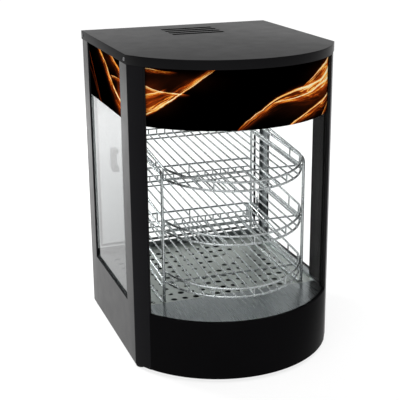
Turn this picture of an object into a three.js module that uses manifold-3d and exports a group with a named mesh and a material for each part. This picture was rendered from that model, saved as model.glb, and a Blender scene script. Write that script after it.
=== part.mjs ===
// Heated display case with a curved front glass, a wire rack and a rear glass door.
// Millimetres, +Z up, the front faces -Y. Y is measured from the two front corners of the
// casing while modelling, and the finished group is shifted so that its origin is the middle
// of its footprint, on the surface it stands on.
import * as THREE from 'three';
import { mergeVertices } from 'three/addons/utils/BufferGeometryUtils.js';
import Module from 'manifold-3d';

const wasm = await Module();
wasm.setup();

// ---------------------------------------------------------------- driving dimensions
const WIDTH = 450;
const SIDE_DEPTH = 378;
const BULGE = 144;
const FOOT_HEIGHT = 9;
const CASE_HEIGHT = 675;
const FOOT = { x: 209.5, frontY: 7, rearY: 361, radius: 13 };
const SHEET = 1.2;
const GAP = 0.3;

const PILLAR = new THREE.Vector2(23, 39); // flat front corner face, across and forward
const PILLAR_RETURN = 5.5;
const LINER = { x: 206, y0: -4, y1: 51, returnX: 216 }; // boxes the corner in, inside the case
const REAR_FLANGE = 9;
const LIP_HEIGHT = 19;
const LIP_PROUD = 1.5;
const ARC_STEPS = 40;

const DECK_TOP = 137;
const BAND_BOTTOM = 536;
const CEILING_Z = 622;
const PANEL_TOP = 672;

const WINDOW = { y0: 51, y1: 330, z0: 138, z1: 660 };
const SEAL_FACE = 1.6;
const SEAL_DEPTH = 4.2;
const PRINT_THICKNESS = 0.4;
const SIDE_GLASS = 4;
const FRONT_GLASS = 5;
const FRONT_GLASS_INSET = 8.8;
const FRONT_GLASS_HALF_ANGLE = THREE.MathUtils.degToRad(58.5);
const PRINT_HALF_ANGLE = THREE.MathUtils.degToRad(57.2);

const WELL = { halfX: 202, y0: 8, y1: 350, floorZ: 79, ledgeZ: 129.5, ledge: 6, sheet: 1 };
const HOLE = { side: 12, pitchX: 25, pitchY: 31, columns: 15, rows: 10, firstY: 32 };

const ELEMENT = { halfX: 130, frontY: 45, rearY: 368, z: 95, bend: 30, radius: 4 };
const TRAY = { halfX: 100, y0: 90, y1: 270, z0: 104.7, z1: 122, sheet: 1 };

const PANEL_Y = SIDE_DEPTH - 2 * SHEET - GAP; // inner face of the rear panels
const CONTROL_FACE = PANEL_Y + SHEET; // outer face of the rear panels
const CONTROL_Z = 56;
const THERMOSTAT_X = -70;
const HEAT_SWITCH_X = 5;
const LAMP_SWITCH_X = 45;
const PILOT_X = -25;
const INLET_X = 140;
const ROCKER_TILT = THREE.MathUtils.degToRad(8);

const DOOR = { halfX: 213, y0: 366, z0: 148, z1: 587, glass: 5 };
const DOOR_SEAL = { halfX: 202, z0: 151, z1: 584, face: 4.5, depth: 3.2 };
const HINGE = { x: 214.7, y: 382.5, radius: 3.6, bore: 2.1, pin: 1.8, knuckle: 11 };
const HINGE_HEIGHTS = { lower: 200, upper: 530 };

const RACK = { x: 8, halfX: 161, frontY: 15, rearY: 313, wire: 5, topZ: 427, bend: 14 };
const SHELF = { halfX: 155, arcRadius: 160, arcBack: 48, backY: 302, wire: 4, grid: 2.6 };
const SHELF_PITCH = 20;
const SHELF_WIRES = 15;
const GUARD = { height: 23, rise: 0.04 };
const SHELF_LEVELS = { top: 409, middle: 294, bottom: 179 };
const SHELF_SLOPE = Math.atan(0.07);

const HANDLE = { x: -155, z0: 332, z1: 388, standoff: 18, bar: 11 };
const REARMOST = DOOR.y0 + DOOR.glass + GAP + HANDLE.standoff + HANDLE.bar;

// ---------------------------------------------------------------- materials
function paint(color, roughness, metalness) {
  return new THREE.MeshStandardMaterial({ color, roughness, metalness });
}

const blackPaint = paint(0x17171a, 0.45, 0.1);
const stainless = paint(0xb4b8b6, 0.32, 0.95);
const chrome = paint(0xd6d9da, 0.15, 1);
const glass = new THREE.MeshStandardMaterial({
  color: 0xe8f2f0,
  roughness: 0.05,
  metalness: 0,
  transparent: true,
  opacity: 0.25,
});
const printedFilm = paint(0x1a0d06, 0.3, 0);
const rubber = paint(0x101010, 0.85, 0);
const blackPlastic = paint(0x161616, 0.5, 0);
const redPlastic = paint(0xb3231a, 0.35, 0);
const amberLens = paint(0xe07818, 0.2, 0);
const ceramic = paint(0xe9e6dd, 0.4, 0);
const zincSteel = paint(0xc4c6c8, 0.35, 0.9);

// ---------------------------------------------------------------- solid helpers
function toSolid(geometry) {
  const bare = geometry.clone();
  bare.deleteAttribute('normal');
  bare.deleteAttribute('uv');
  const merged = mergeVertices(bare, 1e-4);
  return new wasm.Manifold(
    new wasm.Mesh({
      numProp: 3,
      vertProperties: new Float32Array(merged.attributes.position.array),
      triVerts: new Uint32Array(merged.index.array),
    }),
  );
}

function toGeometry(solid) {
  const made = solid.getMesh();
  const geometry = new THREE.BufferGeometry();
  geometry.setAttribute('position', new THREE.BufferAttribute(made.vertProperties, 3));
  geometry.setIndex(new THREE.BufferAttribute(made.triVerts, 1));
  geometry.computeVertexNormals();
  return geometry;
}

function join(...solids) {
  return solids.reduce((sum, solid) => sum.add(solid));
}

function box(x0, x1, y0, y1, z0, z1) {
  const geometry = new THREE.BoxGeometry(x1 - x0, y1 - y0, z1 - z0);
  geometry.translate((x0 + x1) / 2, (y0 + y1) / 2, (z0 + z1) / 2);
  return toSolid(geometry);
}

function shapeOf(points, holes = []) {
  const shape = new THREE.Shape(points);
  shape.holes = holes.map((hole) => new THREE.Path(hole));
  return shape;
}

// An outline in plan, standing from z0 to z1. It can rise along y, by so much for each unit.
function prism(points, z0, z1, holes, rise = 0) {
  const options = { depth: z1 - z0, bevelEnabled: false };
  const geometry = new THREE.ExtrudeGeometry(shapeOf(points, holes), options);
  geometry.translate(0, 0, z0);
  geometry.applyMatrix4(new THREE.Matrix4().makeShear(0, 0, 0, rise, 0, 0));
  return toSolid(geometry);
}

// An outline of (y, z) points, from x0 to x1.
function prismAlongX(points, x0, x1, holes) {
  const options = { depth: x1 - x0, bevelEnabled: false };
  const geometry = new THREE.ExtrudeGeometry(shapeOf(points, holes), options);
  geometry.rotateX(Math.PI / 2);
  geometry.rotateZ(Math.PI / 2);
  geometry.translate(x0, 0, 0);
  return toSolid(geometry);
}

// An outline of (x, z) points, from y0 to y1.
function prismAlongY(points, y0, y1) {
  const options = { depth: y1 - y0, bevelEnabled: false };
  const geometry = new THREE.ExtrudeGeometry(shapeOf(points), options);
  geometry.rotateX(Math.PI / 2);
  geometry.translate(0, y1, 0);
  return toSolid(geometry);
}

function cylinderZ(x, y, z0, z1, radius, sides) {
  const geometry = new THREE.CylinderGeometry(radius, radius, z1 - z0, sides);
  geometry.rotateX(Math.PI / 2);
  geometry.translate(x, y, (z0 + z1) / 2);
  return toSolid(geometry);
}

function cylinderY(x, z, y0, y1, radius, sides) {
  const geometry = new THREE.CylinderGeometry(radius, radius, y1 - y0, sides);
  geometry.translate(x, (y0 + y1) / 2, z);
  return toSolid(geometry);
}

function cylinderX(y, z, x0, x1, radius, sides) {
  const geometry = new THREE.CylinderGeometry(radius, radius, x1 - x0, sides);
  geometry.rotateZ(Math.PI / 2);
  geometry.translate((x0 + x1) / 2, y, z);
  return toSolid(geometry);
}

function rectangle(a0, a1, b0, b1) {
  return [
    new THREE.Vector2(a0, b0),
    new THREE.Vector2(a1, b0),
    new THREE.Vector2(a1, b1),
    new THREE.Vector2(a0, b1),
  ];
}

// A sheet of one thickness that follows an open path, on the left of its direction when
// side is 1 and on the right when side is -1.
function sheetOutline(path, thickness, side) {
  const normals = path.slice(1).map((end, i) => {
    const along = end.clone().sub(path[i]).normalize();
    return new THREE.Vector2(-along.y, along.x).multiplyScalar(side);
  });
  const inner = path.map((corner, i) => {
    const before = normals[Math.max(i - 1, 0)];
    const after = normals[Math.min(i, normals.length - 1)];
    const mitre = before.clone().add(after).normalize();
    return corner.clone().addScaledVector(mitre, thickness / mitre.dot(after));
  });
  return [...path, ...inner.reverse()];
}

// ---------------------------------------------------------------- plan of the casing
// The right pillar face runs from the corner to where the front arc starts.
const corner = new THREE.Vector2(WIDTH / 2, 0);
const arcStart = new THREE.Vector2(WIDTH / 2 - PILLAR.x, -PILLAR.y);
const sagitta = BULGE - PILLAR.y;
const arcRadius = (arcStart.x ** 2 + sagitta ** 2) / (2 * sagitta);
const arcCentreY = -PILLAR.y - sagitta + arcRadius;
const pillarNormal = new THREE.Vector2(PILLAR.y, -PILLAR.x).normalize();
const pillarReach = pillarNormal.dot(corner) - pillarNormal.y * arcCentreY;
const pillarAngle = Math.atan2(pillarNormal.x, -pillarNormal.y);
const arcHalfAngle = Math.asin(arcStart.x / arcRadius);

function arcPoints(radius, from, to, steps = ARC_STEPS) {
  return Array.from({ length: steps + 1 }, (_, i) => {
    const angle = THREE.MathUtils.lerp(from, to, i / steps);
    return new THREE.Vector2(radius * Math.sin(angle), arcCentreY - radius * Math.cos(angle));
  });
}

// The whole plan, with each of its sides moved inwards by its own distance.
function planOutline({ side, pillar = side, arc = side, rear = side }) {
  const halfX = WIDTH / 2 - side;
  const reach = pillarNormal.dot(corner) - pillar;
  const shoulderY = (reach - pillarNormal.x * halfX) / pillarNormal.y;
  const radius = arcRadius - arc;
  const halfAngle = pillarAngle - Math.acos(Math.min(1, (pillarReach - pillar) / radius));
  return [
    new THREE.Vector2(halfX, SIDE_DEPTH - rear),
    new THREE.Vector2(-halfX, SIDE_DEPTH - rear),
    new THREE.Vector2(-halfX, shoulderY),
    ...arcPoints(radius, -halfAngle, halfAngle),
    new THREE.Vector2(halfX, shoulderY),
  ];
}

function arcSector(outer, inner, halfAngle, z0, z1) {
  const outline = [
    ...arcPoints(outer, -halfAngle, halfAngle),
    ...arcPoints(inner, halfAngle, -halfAngle),
  ];
  return prism(outline, z0, z1);
}

// ---------------------------------------------------------------- casing
function topCover() {
  const vent = { x0: -55, x1: 66, y0: 221, slots: 4, width: 16, pitch: 27.5 };
  const lip = planOutline({ side: -LIP_PROUD });
  const hollow = planOutline({ side: SHEET - LIP_PROUD });
  const slotAt = (i) => {
    const y0 = vent.y0 + i * vent.pitch;
    return rectangle(vent.x0, vent.x1, y0, y0 + vent.width).reverse();
  };
  const slots = Array.from({ length: vent.slots }, (_, i) => slotAt(i));
  const plate = prism(lip, CASE_HEIGHT - SHEET, CASE_HEIGHT, slots);
  const skirt = prism(lip, CASE_HEIGHT - LIP_HEIGHT, CASE_HEIGHT - SHEET, [hollow]);
  return join(plate, skirt);
}

// A folded strip welded inside the front corner, between the deck and the ceiling.
function cornerLiner(side) {
  const path = [
    new THREE.Vector2(side * (WIDTH / 2 - 3), LINER.y0),
    new THREE.Vector2(side * LINER.x, LINER.y0),
    new THREE.Vector2(side * LINER.x, LINER.y1),
    new THREE.Vector2(side * LINER.returnX, LINER.y1),
  ];
  return prism(sheetOutline(path, SHEET, -side), DECK_TOP + GAP, CEILING_Z - GAP);
}

// One folded sheet: rear flange, side, flat front corner face and its small return. The
// corner is boxed in by its liner.
function sidePanel(side) {
  const inward = new THREE.Vector2(0, arcCentreY).sub(arcStart).normalize();
  const path = [
    new THREE.Vector2(WIDTH / 2 - REAR_FLANGE, SIDE_DEPTH),
    new THREE.Vector2(WIDTH / 2, SIDE_DEPTH),
    corner.clone(),
    arcStart.clone(),
    arcStart.clone().addScaledVector(inward, PILLAR_RETURN),
  ];
  path.forEach((point) => point.setX(side * point.x));
  const outline = sheetOutline(path, SHEET, -side);
  const reach = WIDTH / 2 + 1;
  const x0 = Math.min(side * reach, side * (reach - 4));
  const opening = box(x0, x0 + 4, WINDOW.y0, WINDOW.y1, WINDOW.z0, WINDOW.z1);
  const sheet = prism(outline, FOOT_HEIGHT, PANEL_TOP).subtract(opening);
  return join(sheet, cornerLiner(side));
}

function frontApron() {
  const halfAngle = arcHalfAngle - THREE.MathUtils.degToRad(0.12);
  const wall = arcSector(arcRadius, arcRadius - SHEET, halfAngle, FOOT_HEIGHT, DECK_TOP);
  const rim = 6.7;
  const rimBottom = DECK_TOP - SHEET;
  const rimFlange = arcSector(arcRadius - 0.2, arcRadius - rim, halfAngle, rimBottom, DECK_TOP);
  const footTop = FOOT_HEIGHT + SHEET;
  const footFlange = arcSector(arcRadius - 0.2, arcRadius - rim, halfAngle, FOOT_HEIGHT, footTop);
  return join(wall, rimFlange, footFlange);
}

function basePlate() {
  const z0 = FOOT_HEIGHT + SHEET + 0.4;
  return prism(planOutline({ side: 1.7, pillar: 7.2, arc: 1.7, rear: 3 }), z0, z0 + SHEET);
}

function deck() {
  const opening = rectangle(-WELL.halfX, WELL.halfX, WELL.y0, WELL.y1).reverse();
  const outline = planOutline({ side: 1.7, pillar: 7.2, arc: 7.2, rear: 3 });
  return prism(outline, DECK_TOP - 1, DECK_TOP, [opening]);
}

// The sunken well: a flange under the deck, a ledge for the floor plate, and a lower pan.
function wellPan() {
  const { halfX, y0, y1, floorZ, ledgeZ, ledge, sheet } = WELL;
  const top = DECK_TOP - 1 - 0.4;
  const ring = (out, inset, z0, z1) => {
    const outer = rectangle(-halfX - out, halfX + out, y0 - out, y1 + out);
    const hole = rectangle(-halfX + inset, halfX - inset, y0 + inset, y1 - inset);
    return prism(outer, z0, z1, [hole.reverse()]);
  };
  const flange = ring(8, 0, top - sheet, top);
  const upperWall = ring(sheet, 0, ledgeZ - sheet, top);
  const ledgeRing = ring(sheet, ledge, ledgeZ - sheet, ledgeZ);
  const lowerWall = ring(sheet - ledge, ledge, floorZ, ledgeZ);
  const reach = ledge - sheet;
  const floor = box(-halfX + reach, halfX - reach, y0 + reach, y1 - reach, floorZ, floorZ + sheet);
  const holeRadius = ELEMENT.radius + 1.5;
  const holeAt = (x) => cylinderY(x, ELEMENT.z, y1 - ledge - 5, y1 + 5, holeRadius, 10);
  return join(flange, upperWall, ledgeRing, lowerWall, floor)
    .subtract(holeAt(ELEMENT.halfX))
    .subtract(holeAt(-ELEMENT.halfX));
}

function floorPlate() {
  const play = 0.4;
  const { halfX, y0, y1, ledgeZ } = WELL;
  const bottom = ledgeZ + GAP;
  const plate = box(-halfX + play, halfX - play, y0 + play, y1 - play, bottom, bottom + SHEET);
  const half = HOLE.side / 2;
  const holes = [];
  for (let column = 0; column < HOLE.columns; column++) {
    const x = (column - (HOLE.columns - 1) / 2) * HOLE.pitchX;
    for (let row = 0; row < HOLE.rows; row++) {
      const y = HOLE.firstY + row * HOLE.pitchY;
      holes.push(box(x - half, x + half, y - half, y + half, bottom - 1, bottom + SHEET + 1));
    }
  }
  return plate.subtract(join(...holes));
}

function ceilingPanel() {
  const glassClear = FRONT_GLASS_INSET + FRONT_GLASS + 0.7;
  const outline = planOutline({ side: 10, pillar: glassClear, arc: glassClear, rear: 4 });
  return prism(outline, CEILING_Z, CEILING_Z + 1);
}

function rearLowerPanel() {
  const halfX = WIDTH / 2 - 3;
  const z0 = FOOT_HEIGHT + 3.5;
  const plate = box(-halfX, halfX, PANEL_Y, CONTROL_FACE, z0, DECK_TOP - 2);
  const slot = (x, halfWidth, halfHeight) =>
    box(x - halfWidth, x + halfWidth, PANEL_Y - 2, CONTROL_FACE + 2,
      CONTROL_Z - halfHeight, CONTROL_Z + halfHeight);
  const bore = (x, radius) =>
    cylinderY(x, CONTROL_Z, PANEL_Y - 2, CONTROL_FACE + 2, radius, 12);
  return plate
    .subtract(slot(HEAT_SWITCH_X, 9.7, 13.7))
    .subtract(slot(LAMP_SWITCH_X, 9.7, 13.7))
    .subtract(slot(INLET_X, 14, 10.2))
    .subtract(bore(THERMOSTAT_X, 4.5))
    .subtract(bore(PILOT_X, 5));
}

// The panel above the door, with its lower edge folded in.
function rearHeader() {
  const halfX = WIDTH / 2 - 3;
  const z0 = 590;
  const fold = 12;
  const face = box(-halfX, halfX, PANEL_Y, CONTROL_FACE, z0, PANEL_TOP);
  const shelfHalfX = WIDTH / 2 - 8;
  const foldPlate = box(-shelfHalfX, shelfHalfX, PANEL_Y - fold, PANEL_Y + 0.2, z0, z0 + SHEET);
  return join(face, foldPlate);
}

function rearSill() {
  const halfX = WIDTH / 2 - 7;
  const z0 = DECK_TOP + GAP;
  const upright = box(-halfX, halfX, DOOR.y0 - 3, DOOR.y0 - 3 + SHEET, z0, z0 + 9);
  const foot = box(-halfX, halfX, DOOR.y0 - 3, DOOR.y0 + 8, z0, z0 + SHEET);
  return join(upright, foot);
}

// ---------------------------------------------------------------- glazing
function frontGlass() {
  const outer = arcRadius - FRONT_GLASS_INSET;
  return arcSector(outer, outer - FRONT_GLASS, FRONT_GLASS_HALF_ANGLE, DECK_TOP + 0.4, 668);
}

function frontPrint() {
  const inner = arcRadius - FRONT_GLASS_INSET + 0.2;
  return arcSector(inner + PRINT_THICKNESS, inner, PRINT_HALF_ANGLE, BAND_BOTTOM, 668);
}

// A slab beside the side window, from its outer face inwards.
function sideSlab(side, outerX, thickness, y0, y1, z0, z1) {
  const a = side * outerX;
  const b = side * (outerX - thickness);
  return box(Math.min(a, b), Math.max(a, b), y0, y1, z0, z1);
}

function sideGlass(side) {
  const outer = WIDTH / 2 - SEAL_DEPTH - GAP;
  return sideSlab(side, outer, SIDE_GLASS, WINDOW.y0 - 10, WINDOW.y1 + 10, DECK_TOP + 0.6, 668);
}

function windowSeal(side) {
  const { y0, y1, z0, z1 } = WINDOW;
  const outer = rectangle(y0 + GAP, y1 - GAP, z0 + GAP, z1 - GAP);
  const inner = rectangle(y0 + SEAL_FACE, y1 - SEAL_FACE, z0 + SEAL_FACE, z1 - SEAL_FACE);
  const x0 = side > 0 ? WIDTH / 2 - SEAL_DEPTH : -WIDTH / 2;
  return prismAlongX(outer, x0, x0 + SEAL_DEPTH, [inner.reverse()]);
}

function sidePrint(side) {
  const edge = SEAL_FACE + GAP;
  const outer = WIDTH / 2 - SEAL_DEPTH - 0.2 + PRINT_THICKNESS;
  return sideSlab(side, outer, PRINT_THICKNESS, WINDOW.y0 + edge, WINDOW.y1 - edge,
    BAND_BOTTOM, WINDOW.z1 - edge);
}

// ---------------------------------------------------------------- heating
function heatingElement() {
  const { halfX, frontY, rearY, z, bend, radius } = ELEMENT;
  const at = (x, y) => new THREE.Vector3(x, y, z);
  const route = new THREE.CurvePath();
  const kneeY = frontY + bend;
  const kneeX = halfX - bend;
  route.add(new THREE.LineCurve3(at(halfX, rearY), at(halfX, kneeY)));
  route.add(new THREE.QuadraticBezierCurve3(at(halfX, kneeY), at(halfX, frontY), at(kneeX, frontY)));
  route.add(new THREE.LineCurve3(at(kneeX, frontY), at(-kneeX, frontY)));
  route.add(new THREE.QuadraticBezierCurve3(at(-kneeX, frontY), at(-halfX, frontY), at(-halfX, kneeY)));
  route.add(new THREE.LineCurve3(at(-halfX, kneeY), at(-halfX, rearY)));
  const section = new THREE.Shape(new THREE.Path().absarc(0, 0, radius, 0, 2 * Math.PI).getPoints(4));
  const options = { steps: 40, extrudePath: route, bevelEnabled: false };
  return toSolid(new THREE.ExtrudeGeometry(section, options));
}

function waterTray() {
  const { halfX, y0, y1, z0, z1, sheet } = TRAY;
  const rim = 5;
  const shell = box(-halfX, halfX, y0, y1, z0, z1);
  const rimPlate = box(-halfX - rim, halfX + rim, y0 - rim, y1 + rim, z1 - sheet, z1);
  const hollow = box(-halfX + sheet, halfX - sheet, y0 + sheet, y1 - sheet, z0 + sheet, z1 + 1);
  return join(shell, rimPlate).subtract(hollow);
}

// Two bridges over the pan's floor, tied by two straps, that carry the water tray.
function traySupport() {
  const half = TRAY.halfX + 10;
  const floor = WELL.floorZ + WELL.sheet + GAP;
  const top = TRAY.z0 - GAP;
  const path = [
    new THREE.Vector2(-half, floor),
    new THREE.Vector2(-half, top),
    new THREE.Vector2(half, top),
    new THREE.Vector2(half, floor),
  ];
  const outline = sheetOutline(path, SHEET, -1);
  const bridgeY = [TRAY.y0 + 20, TRAY.y1 - 32];
  const [front, rear] = bridgeY.map((y) => prismAlongY(outline, y, y + 12));
  const strap = (x) =>
    box(x - 5, x + 5, bridgeY[0] + 6, bridgeY[1] + 6, top - SHEET, top - 0.1);
  return join(front, rear, strap(-60), strap(60));
}

// ---------------------------------------------------------------- controls on the rear panel
function thermostatBody() {
  const inner = PANEL_Y - GAP;
  const z0 = CONTROL_Z - 17;
  const can = box(THERMOSTAT_X - 19, THERMOSTAT_X + 19, inner - 26, inner - 6, z0, z0 + 34);
  const nose = cylinderY(THERMOSTAT_X, CONTROL_Z, inner - 7, inner, 9, 16);
  const bore = cylinderY(THERMOSTAT_X, CONTROL_Z, inner - 20, inner + 1, 3.4, 12);
  return join(can, nose).subtract(bore);
}

function thermostatShaft() {
  return cylinderY(THERMOSTAT_X, CONTROL_Z, PANEL_Y - 16, CONTROL_FACE + 1.8, 3, 12);
}

function thermostatKnob() {
  const y0 = CONTROL_FACE + 2.2;
  const skirt = new THREE.CylinderGeometry(17, 19, 8, 24);
  skirt.translate(THERMOSTAT_X, y0 + 4, CONTROL_Z);
  const grip = box(THERMOSTAT_X - 4.5, THERMOSTAT_X + 4.5, y0 + 7, y0 + 17,
    CONTROL_Z - 15.5, CONTROL_Z + 15.5);
  return join(toSolid(skirt), grip);
}

function switchBody(x) {
  const face = CONTROL_FACE + GAP;
  const bezel = box(x - 12, x + 12, face, face + 2.4, CONTROL_Z - 16, CONTROL_Z + 16);
  const can = box(x - 9.2, x + 9.2, face - 24, face + 0.2, CONTROL_Z - 13.2, CONTROL_Z + 13.2);
  const recess = box(x - 7.6, x + 7.6, face - 12, face + 4, CONTROL_Z - 11.8, CONTROL_Z + 11.8);
  return join(bezel, can).subtract(recess);
}

// A rocker with a shallow V face, about its own pivot at the origin.
function rocker() {
  const half = 10.1;
  const outline = [
    new THREE.Vector2(-3, -half),
    new THREE.Vector2(9.6, -half),
    new THREE.Vector2(7, 0),
    new THREE.Vector2(9.6, half),
    new THREE.Vector2(-3, half),
    new THREE.Vector2(-6, 0),
  ];
  return prismAlongX(outline, -7, 7);
}

function pilotLamp() {
  const face = CONTROL_FACE + GAP;
  const profile = [
    [0, -16],
    [4.4, -16],
    [4.4, 0],
    [7, 0],
    [7, 1.8],
    [5, 1.8],
    [4, 4.6],
    [0, 6],
  ];
  const points = profile.map(([radius, along]) => new THREE.Vector2(radius, along));
  const geometry = new THREE.LatheGeometry(points, 16);
  geometry.translate(PILOT_X, face, CONTROL_Z);
  return toSolid(geometry);
}

// A recessed appliance inlet with three blades standing in it.
function powerInlet() {
  const face = CONTROL_FACE + GAP;
  const at = (halfX, halfZ, y0, y1) =>
    box(INLET_X - halfX, INLET_X + halfX, y0, y1, CONTROL_Z - halfZ, CONTROL_Z + halfZ);
  const blade = (dx, dz) =>
    box(INLET_X + dx - 1, INLET_X + dx + 1, face - 18, face - 4,
      CONTROL_Z + dz - 2, CONTROL_Z + dz + 2);
  return join(at(25, 14, face, face + 2.5), at(13.5, 9.8, face - 22, face + 0.2))
    .subtract(at(12, 8, face - 17, face + 4))
    .add(blade(-7, -1.5))
    .add(blade(7, -1.5))
    .add(blade(0, 3));
}

function terminalBlock() {
  const z0 = FOOT_HEIGHT + 2 * SHEET + 0.4 + GAP;
  const base = box(-32, 32, 296, 318, z0, z0 + 9);
  const walls = Array.from({ length: 5 }, (_, i) => {
    const x = -30 + i * 15;
    return box(x - 1.5, x + 1.5, 297, 317, z0 + 8, z0 + 16);
  });
  return join(base, ...walls);
}

// ---------------------------------------------------------------- cabin lamp
const LAMP = { y: 165, holderZ: 597, holderRadius: 15 };

function lampHolder() {
  return cylinderZ(0, LAMP.y, LAMP.holderZ, CEILING_Z - GAP, LAMP.holderRadius, 20);
}

function lampBulb() {
  const top = LAMP.holderZ - GAP;
  const profile = [
    [0, -56],
    [8, -54],
    [15, -47],
    [18, -37],
    [17, -27],
    [11, -14],
    [8, -6],
    [8, 0],
    [0, 0],
  ];
  const points = profile.map(([radius, along]) => new THREE.Vector2(radius, along));
  const geometry = new THREE.LatheGeometry(points, 16);
  geometry.rotateX(Math.PI / 2);
  geometry.translate(0, LAMP.y, top);
  return toSolid(geometry);
}

// ---------------------------------------------------------------- feet and screws
function foot(x, y) {
  return cylinderZ(x, y, 0, FOOT_HEIGHT + SHEET + 0.1, FOOT.radius, 18);
}

function coverScrew(side, y) {
  const outer = WIDTH / 2 + LIP_PROUD + 0.2;
  const z = CASE_HEIGHT - LIP_HEIGHT / 2;
  const head = 2;
  return cylinderX(y, z, side > 0 ? outer : -outer - head, side > 0 ? outer + head : -outer, 4, 12);
}

// ---------------------------------------------------------------- rear door
function doorGlass() {
  const { halfX, y0, z0, z1, glass: thickness } = DOOR;
  return box(-halfX, halfX, y0, y0 + thickness, z0, z1);
}

// A soft bead on the inside of the pane, a little in from its edges.
function doorSeal() {
  const { halfX, z0, z1, face, depth } = DOOR_SEAL;
  const rear = DOOR.y0 - 0.2;
  const front = rear - depth;
  const ring = box(-halfX, halfX, front, rear, z0, z1);
  return ring.subtract(box(-halfX + face, halfX - face, front - 1, rear + 1, z0 + face, z1 - face));
}

function doorHandle() {
  const { x, z0, z1, standoff, bar } = HANDLE;
  const face = DOOR.y0 + DOOR.glass + GAP;
  const barY = face + standoff;
  const path = [
    new THREE.Vector2(face, z0 + bar),
    new THREE.Vector2(face, z0),
    new THREE.Vector2(barY + bar * 0.6, z0),
    new THREE.Vector2(barY + bar, z0 + 8),
    new THREE.Vector2(barY + bar, z1 - 8),
    new THREE.Vector2(barY + bar * 0.6, z1),
    new THREE.Vector2(face, z1),
    new THREE.Vector2(face, z1 - bar),
    new THREE.Vector2(barY, z1 - bar - 4),
    new THREE.Vector2(barY, z0 + bar + 4),
  ];
  return prismAlongX(path, x - 7, x + 7);
}

function knuckle(z0, z1) {
  const barrel = cylinderZ(HINGE.x, HINGE.y, z0, z1, HINGE.radius, 14);
  return { barrel, bore: cylinderZ(HINGE.x, HINGE.y, z0 - 1, z1 + 1, HINGE.bore, 14) };
}

// The door's half of a hinge: a leaf fixed on the pane and the lower knuckle.
function hingeLeaf(z) {
  const face = DOOR.y0 + DOOR.glass + GAP;
  const outer = face + 2.2;
  const outline = [
    new THREE.Vector2(HINGE.x - 35, face),
    new THREE.Vector2(HINGE.x - 4, face),
    new THREE.Vector2(HINGE.x - 0.5, HINGE.y - 2.5),
    new THREE.Vector2(HINGE.x - 2.7, HINGE.y - 0.5),
    new THREE.Vector2(HINGE.x - 5.4, outer),
    new THREE.Vector2(HINGE.x - 35, outer),
  ];
  const { barrel, bore } = knuckle(z, z + HINGE.knuckle);
  return join(prism(outline, z - 24, z + HINGE.knuckle), barrel).subtract(bore);
}

// The casing's half of a hinge: a plate on the rear flange and the upper knuckle.
function hingeBracket(z) {
  const face = SIDE_DEPTH + GAP;
  const outer = face + 2.2;
  const edge = WIDTH / 2 - 0.6;
  const z0 = z + HINGE.knuckle + 0.4;
  const outline = [
    new THREE.Vector2(HINGE.x + 2.6, face),
    new THREE.Vector2(edge, face),
    new THREE.Vector2(edge, outer),
    new THREE.Vector2(HINGE.x + 4, outer),
    new THREE.Vector2(HINGE.x + 1.5, HINGE.y + 2.8),
    new THREE.Vector2(HINGE.x + 1.5, HINGE.y - 0.5),
  ];
  const { barrel, bore } = knuckle(z0, z0 + HINGE.knuckle);
  return join(prism(outline, z0, z0 + 24), barrel).subtract(bore);
}

function hingePin(z) {
  return cylinderZ(HINGE.x, HINGE.y, z, z + 2 * HINGE.knuckle + 0.4, HINGE.pin, 10);
}

const CATCH = { x0: -213, x1: -203.5, z0: 560, z1: 586 };

function catchMagnet() {
  const { x0, x1, z0, z1 } = CATCH;
  return box(x0, x1, DOOR.y0 - 16, DOOR.y0 - 1.6, z0, z1 + 3.7);
}

function catchPlate() {
  const { x0, x1, z0, z1 } = CATCH;
  return box(x0, x1, DOOR.y0 - 1.4, DOOR.y0 - 0.2, z0 + 1, z1 - 1);
}

// ---------------------------------------------------------------- wire rack
const slopeRise = (fromY, toY) => (toY - fromY) * Math.tan(SHELF_SLOPE);

// A leg at each end, a runner along the floor, a sloping top bar with rounded shoulders and a
// ledge for each shelf.
function rackFrame(side) {
  const { halfX, frontY, rearY, wire, topZ, bend } = RACK;
  const x = RACK.x + side * halfX;
  const half = wire / 2;
  const footZ = WELL.ledgeZ + GAP + SHEET + GAP;
  const rearTop = topZ + slopeRise(frontY, rearY);
  const outline = [
    new THREE.Vector2(frontY - half, footZ),
    new THREE.Vector2(frontY - half, topZ - bend),
    new THREE.Vector2(frontY + bend * 0.3, topZ - bend * 0.3),
    new THREE.Vector2(frontY + bend, topZ),
    new THREE.Vector2(rearY - bend, rearTop),
    new THREE.Vector2(rearY - bend * 0.3, rearTop - bend * 0.3),
    new THREE.Vector2(rearY + half, rearTop - bend),
    new THREE.Vector2(rearY + half, footZ),
  ];
  const loop = prismAlongX(sheetOutline(outline, wire, -1), x - half, x + half);
  const ledges = Object.values(SHELF_LEVELS).map((level) => {
    const frontZ = level - SHELF.wire - half - GAP - 1;
    const ledge = [
      new THREE.Vector2(frontY, frontZ - wire),
      new THREE.Vector2(rearY, frontZ - wire + slopeRise(frontY, rearY)),
      new THREE.Vector2(rearY, frontZ + slopeRise(frontY, rearY)),
      new THREE.Vector2(frontY, frontZ),
    ];
    return prismAlongX(ledge, x - half + 0.3, x + half - 0.3);
  });
  const runner = box(x - half + 0.3, x + half - 0.3, frontY, rearY, footZ, footZ + wire);
  return join(loop, runner, ...ledges);
}

// The D outline of a shelf about its front leg line, moved inwards by inset.
function shelfOutline(inset) {
  const halfX = SHELF.halfX - inset;
  const radius = SHELF.arcRadius - inset;
  const halfAngle = Math.asin(halfX / radius);
  const steps = 18;
  const arc = Array.from({ length: steps + 1 }, (_, i) => {
    const angle = THREE.MathUtils.lerp(-halfAngle, halfAngle, i / steps);
    return new THREE.Vector2(radius * Math.sin(angle), SHELF.arcBack - radius * Math.cos(angle));
  });
  const backY = SHELF.backY - inset;
  return [new THREE.Vector2(halfX, backY), new THREE.Vector2(-halfX, backY), ...arc];
}

function shelfLoop(z, rise) {
  const half = SHELF.wire / 2;
  return prism(shelfOutline(-half), z - half, z + half, [shelfOutline(half)], rise);
}

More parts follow.
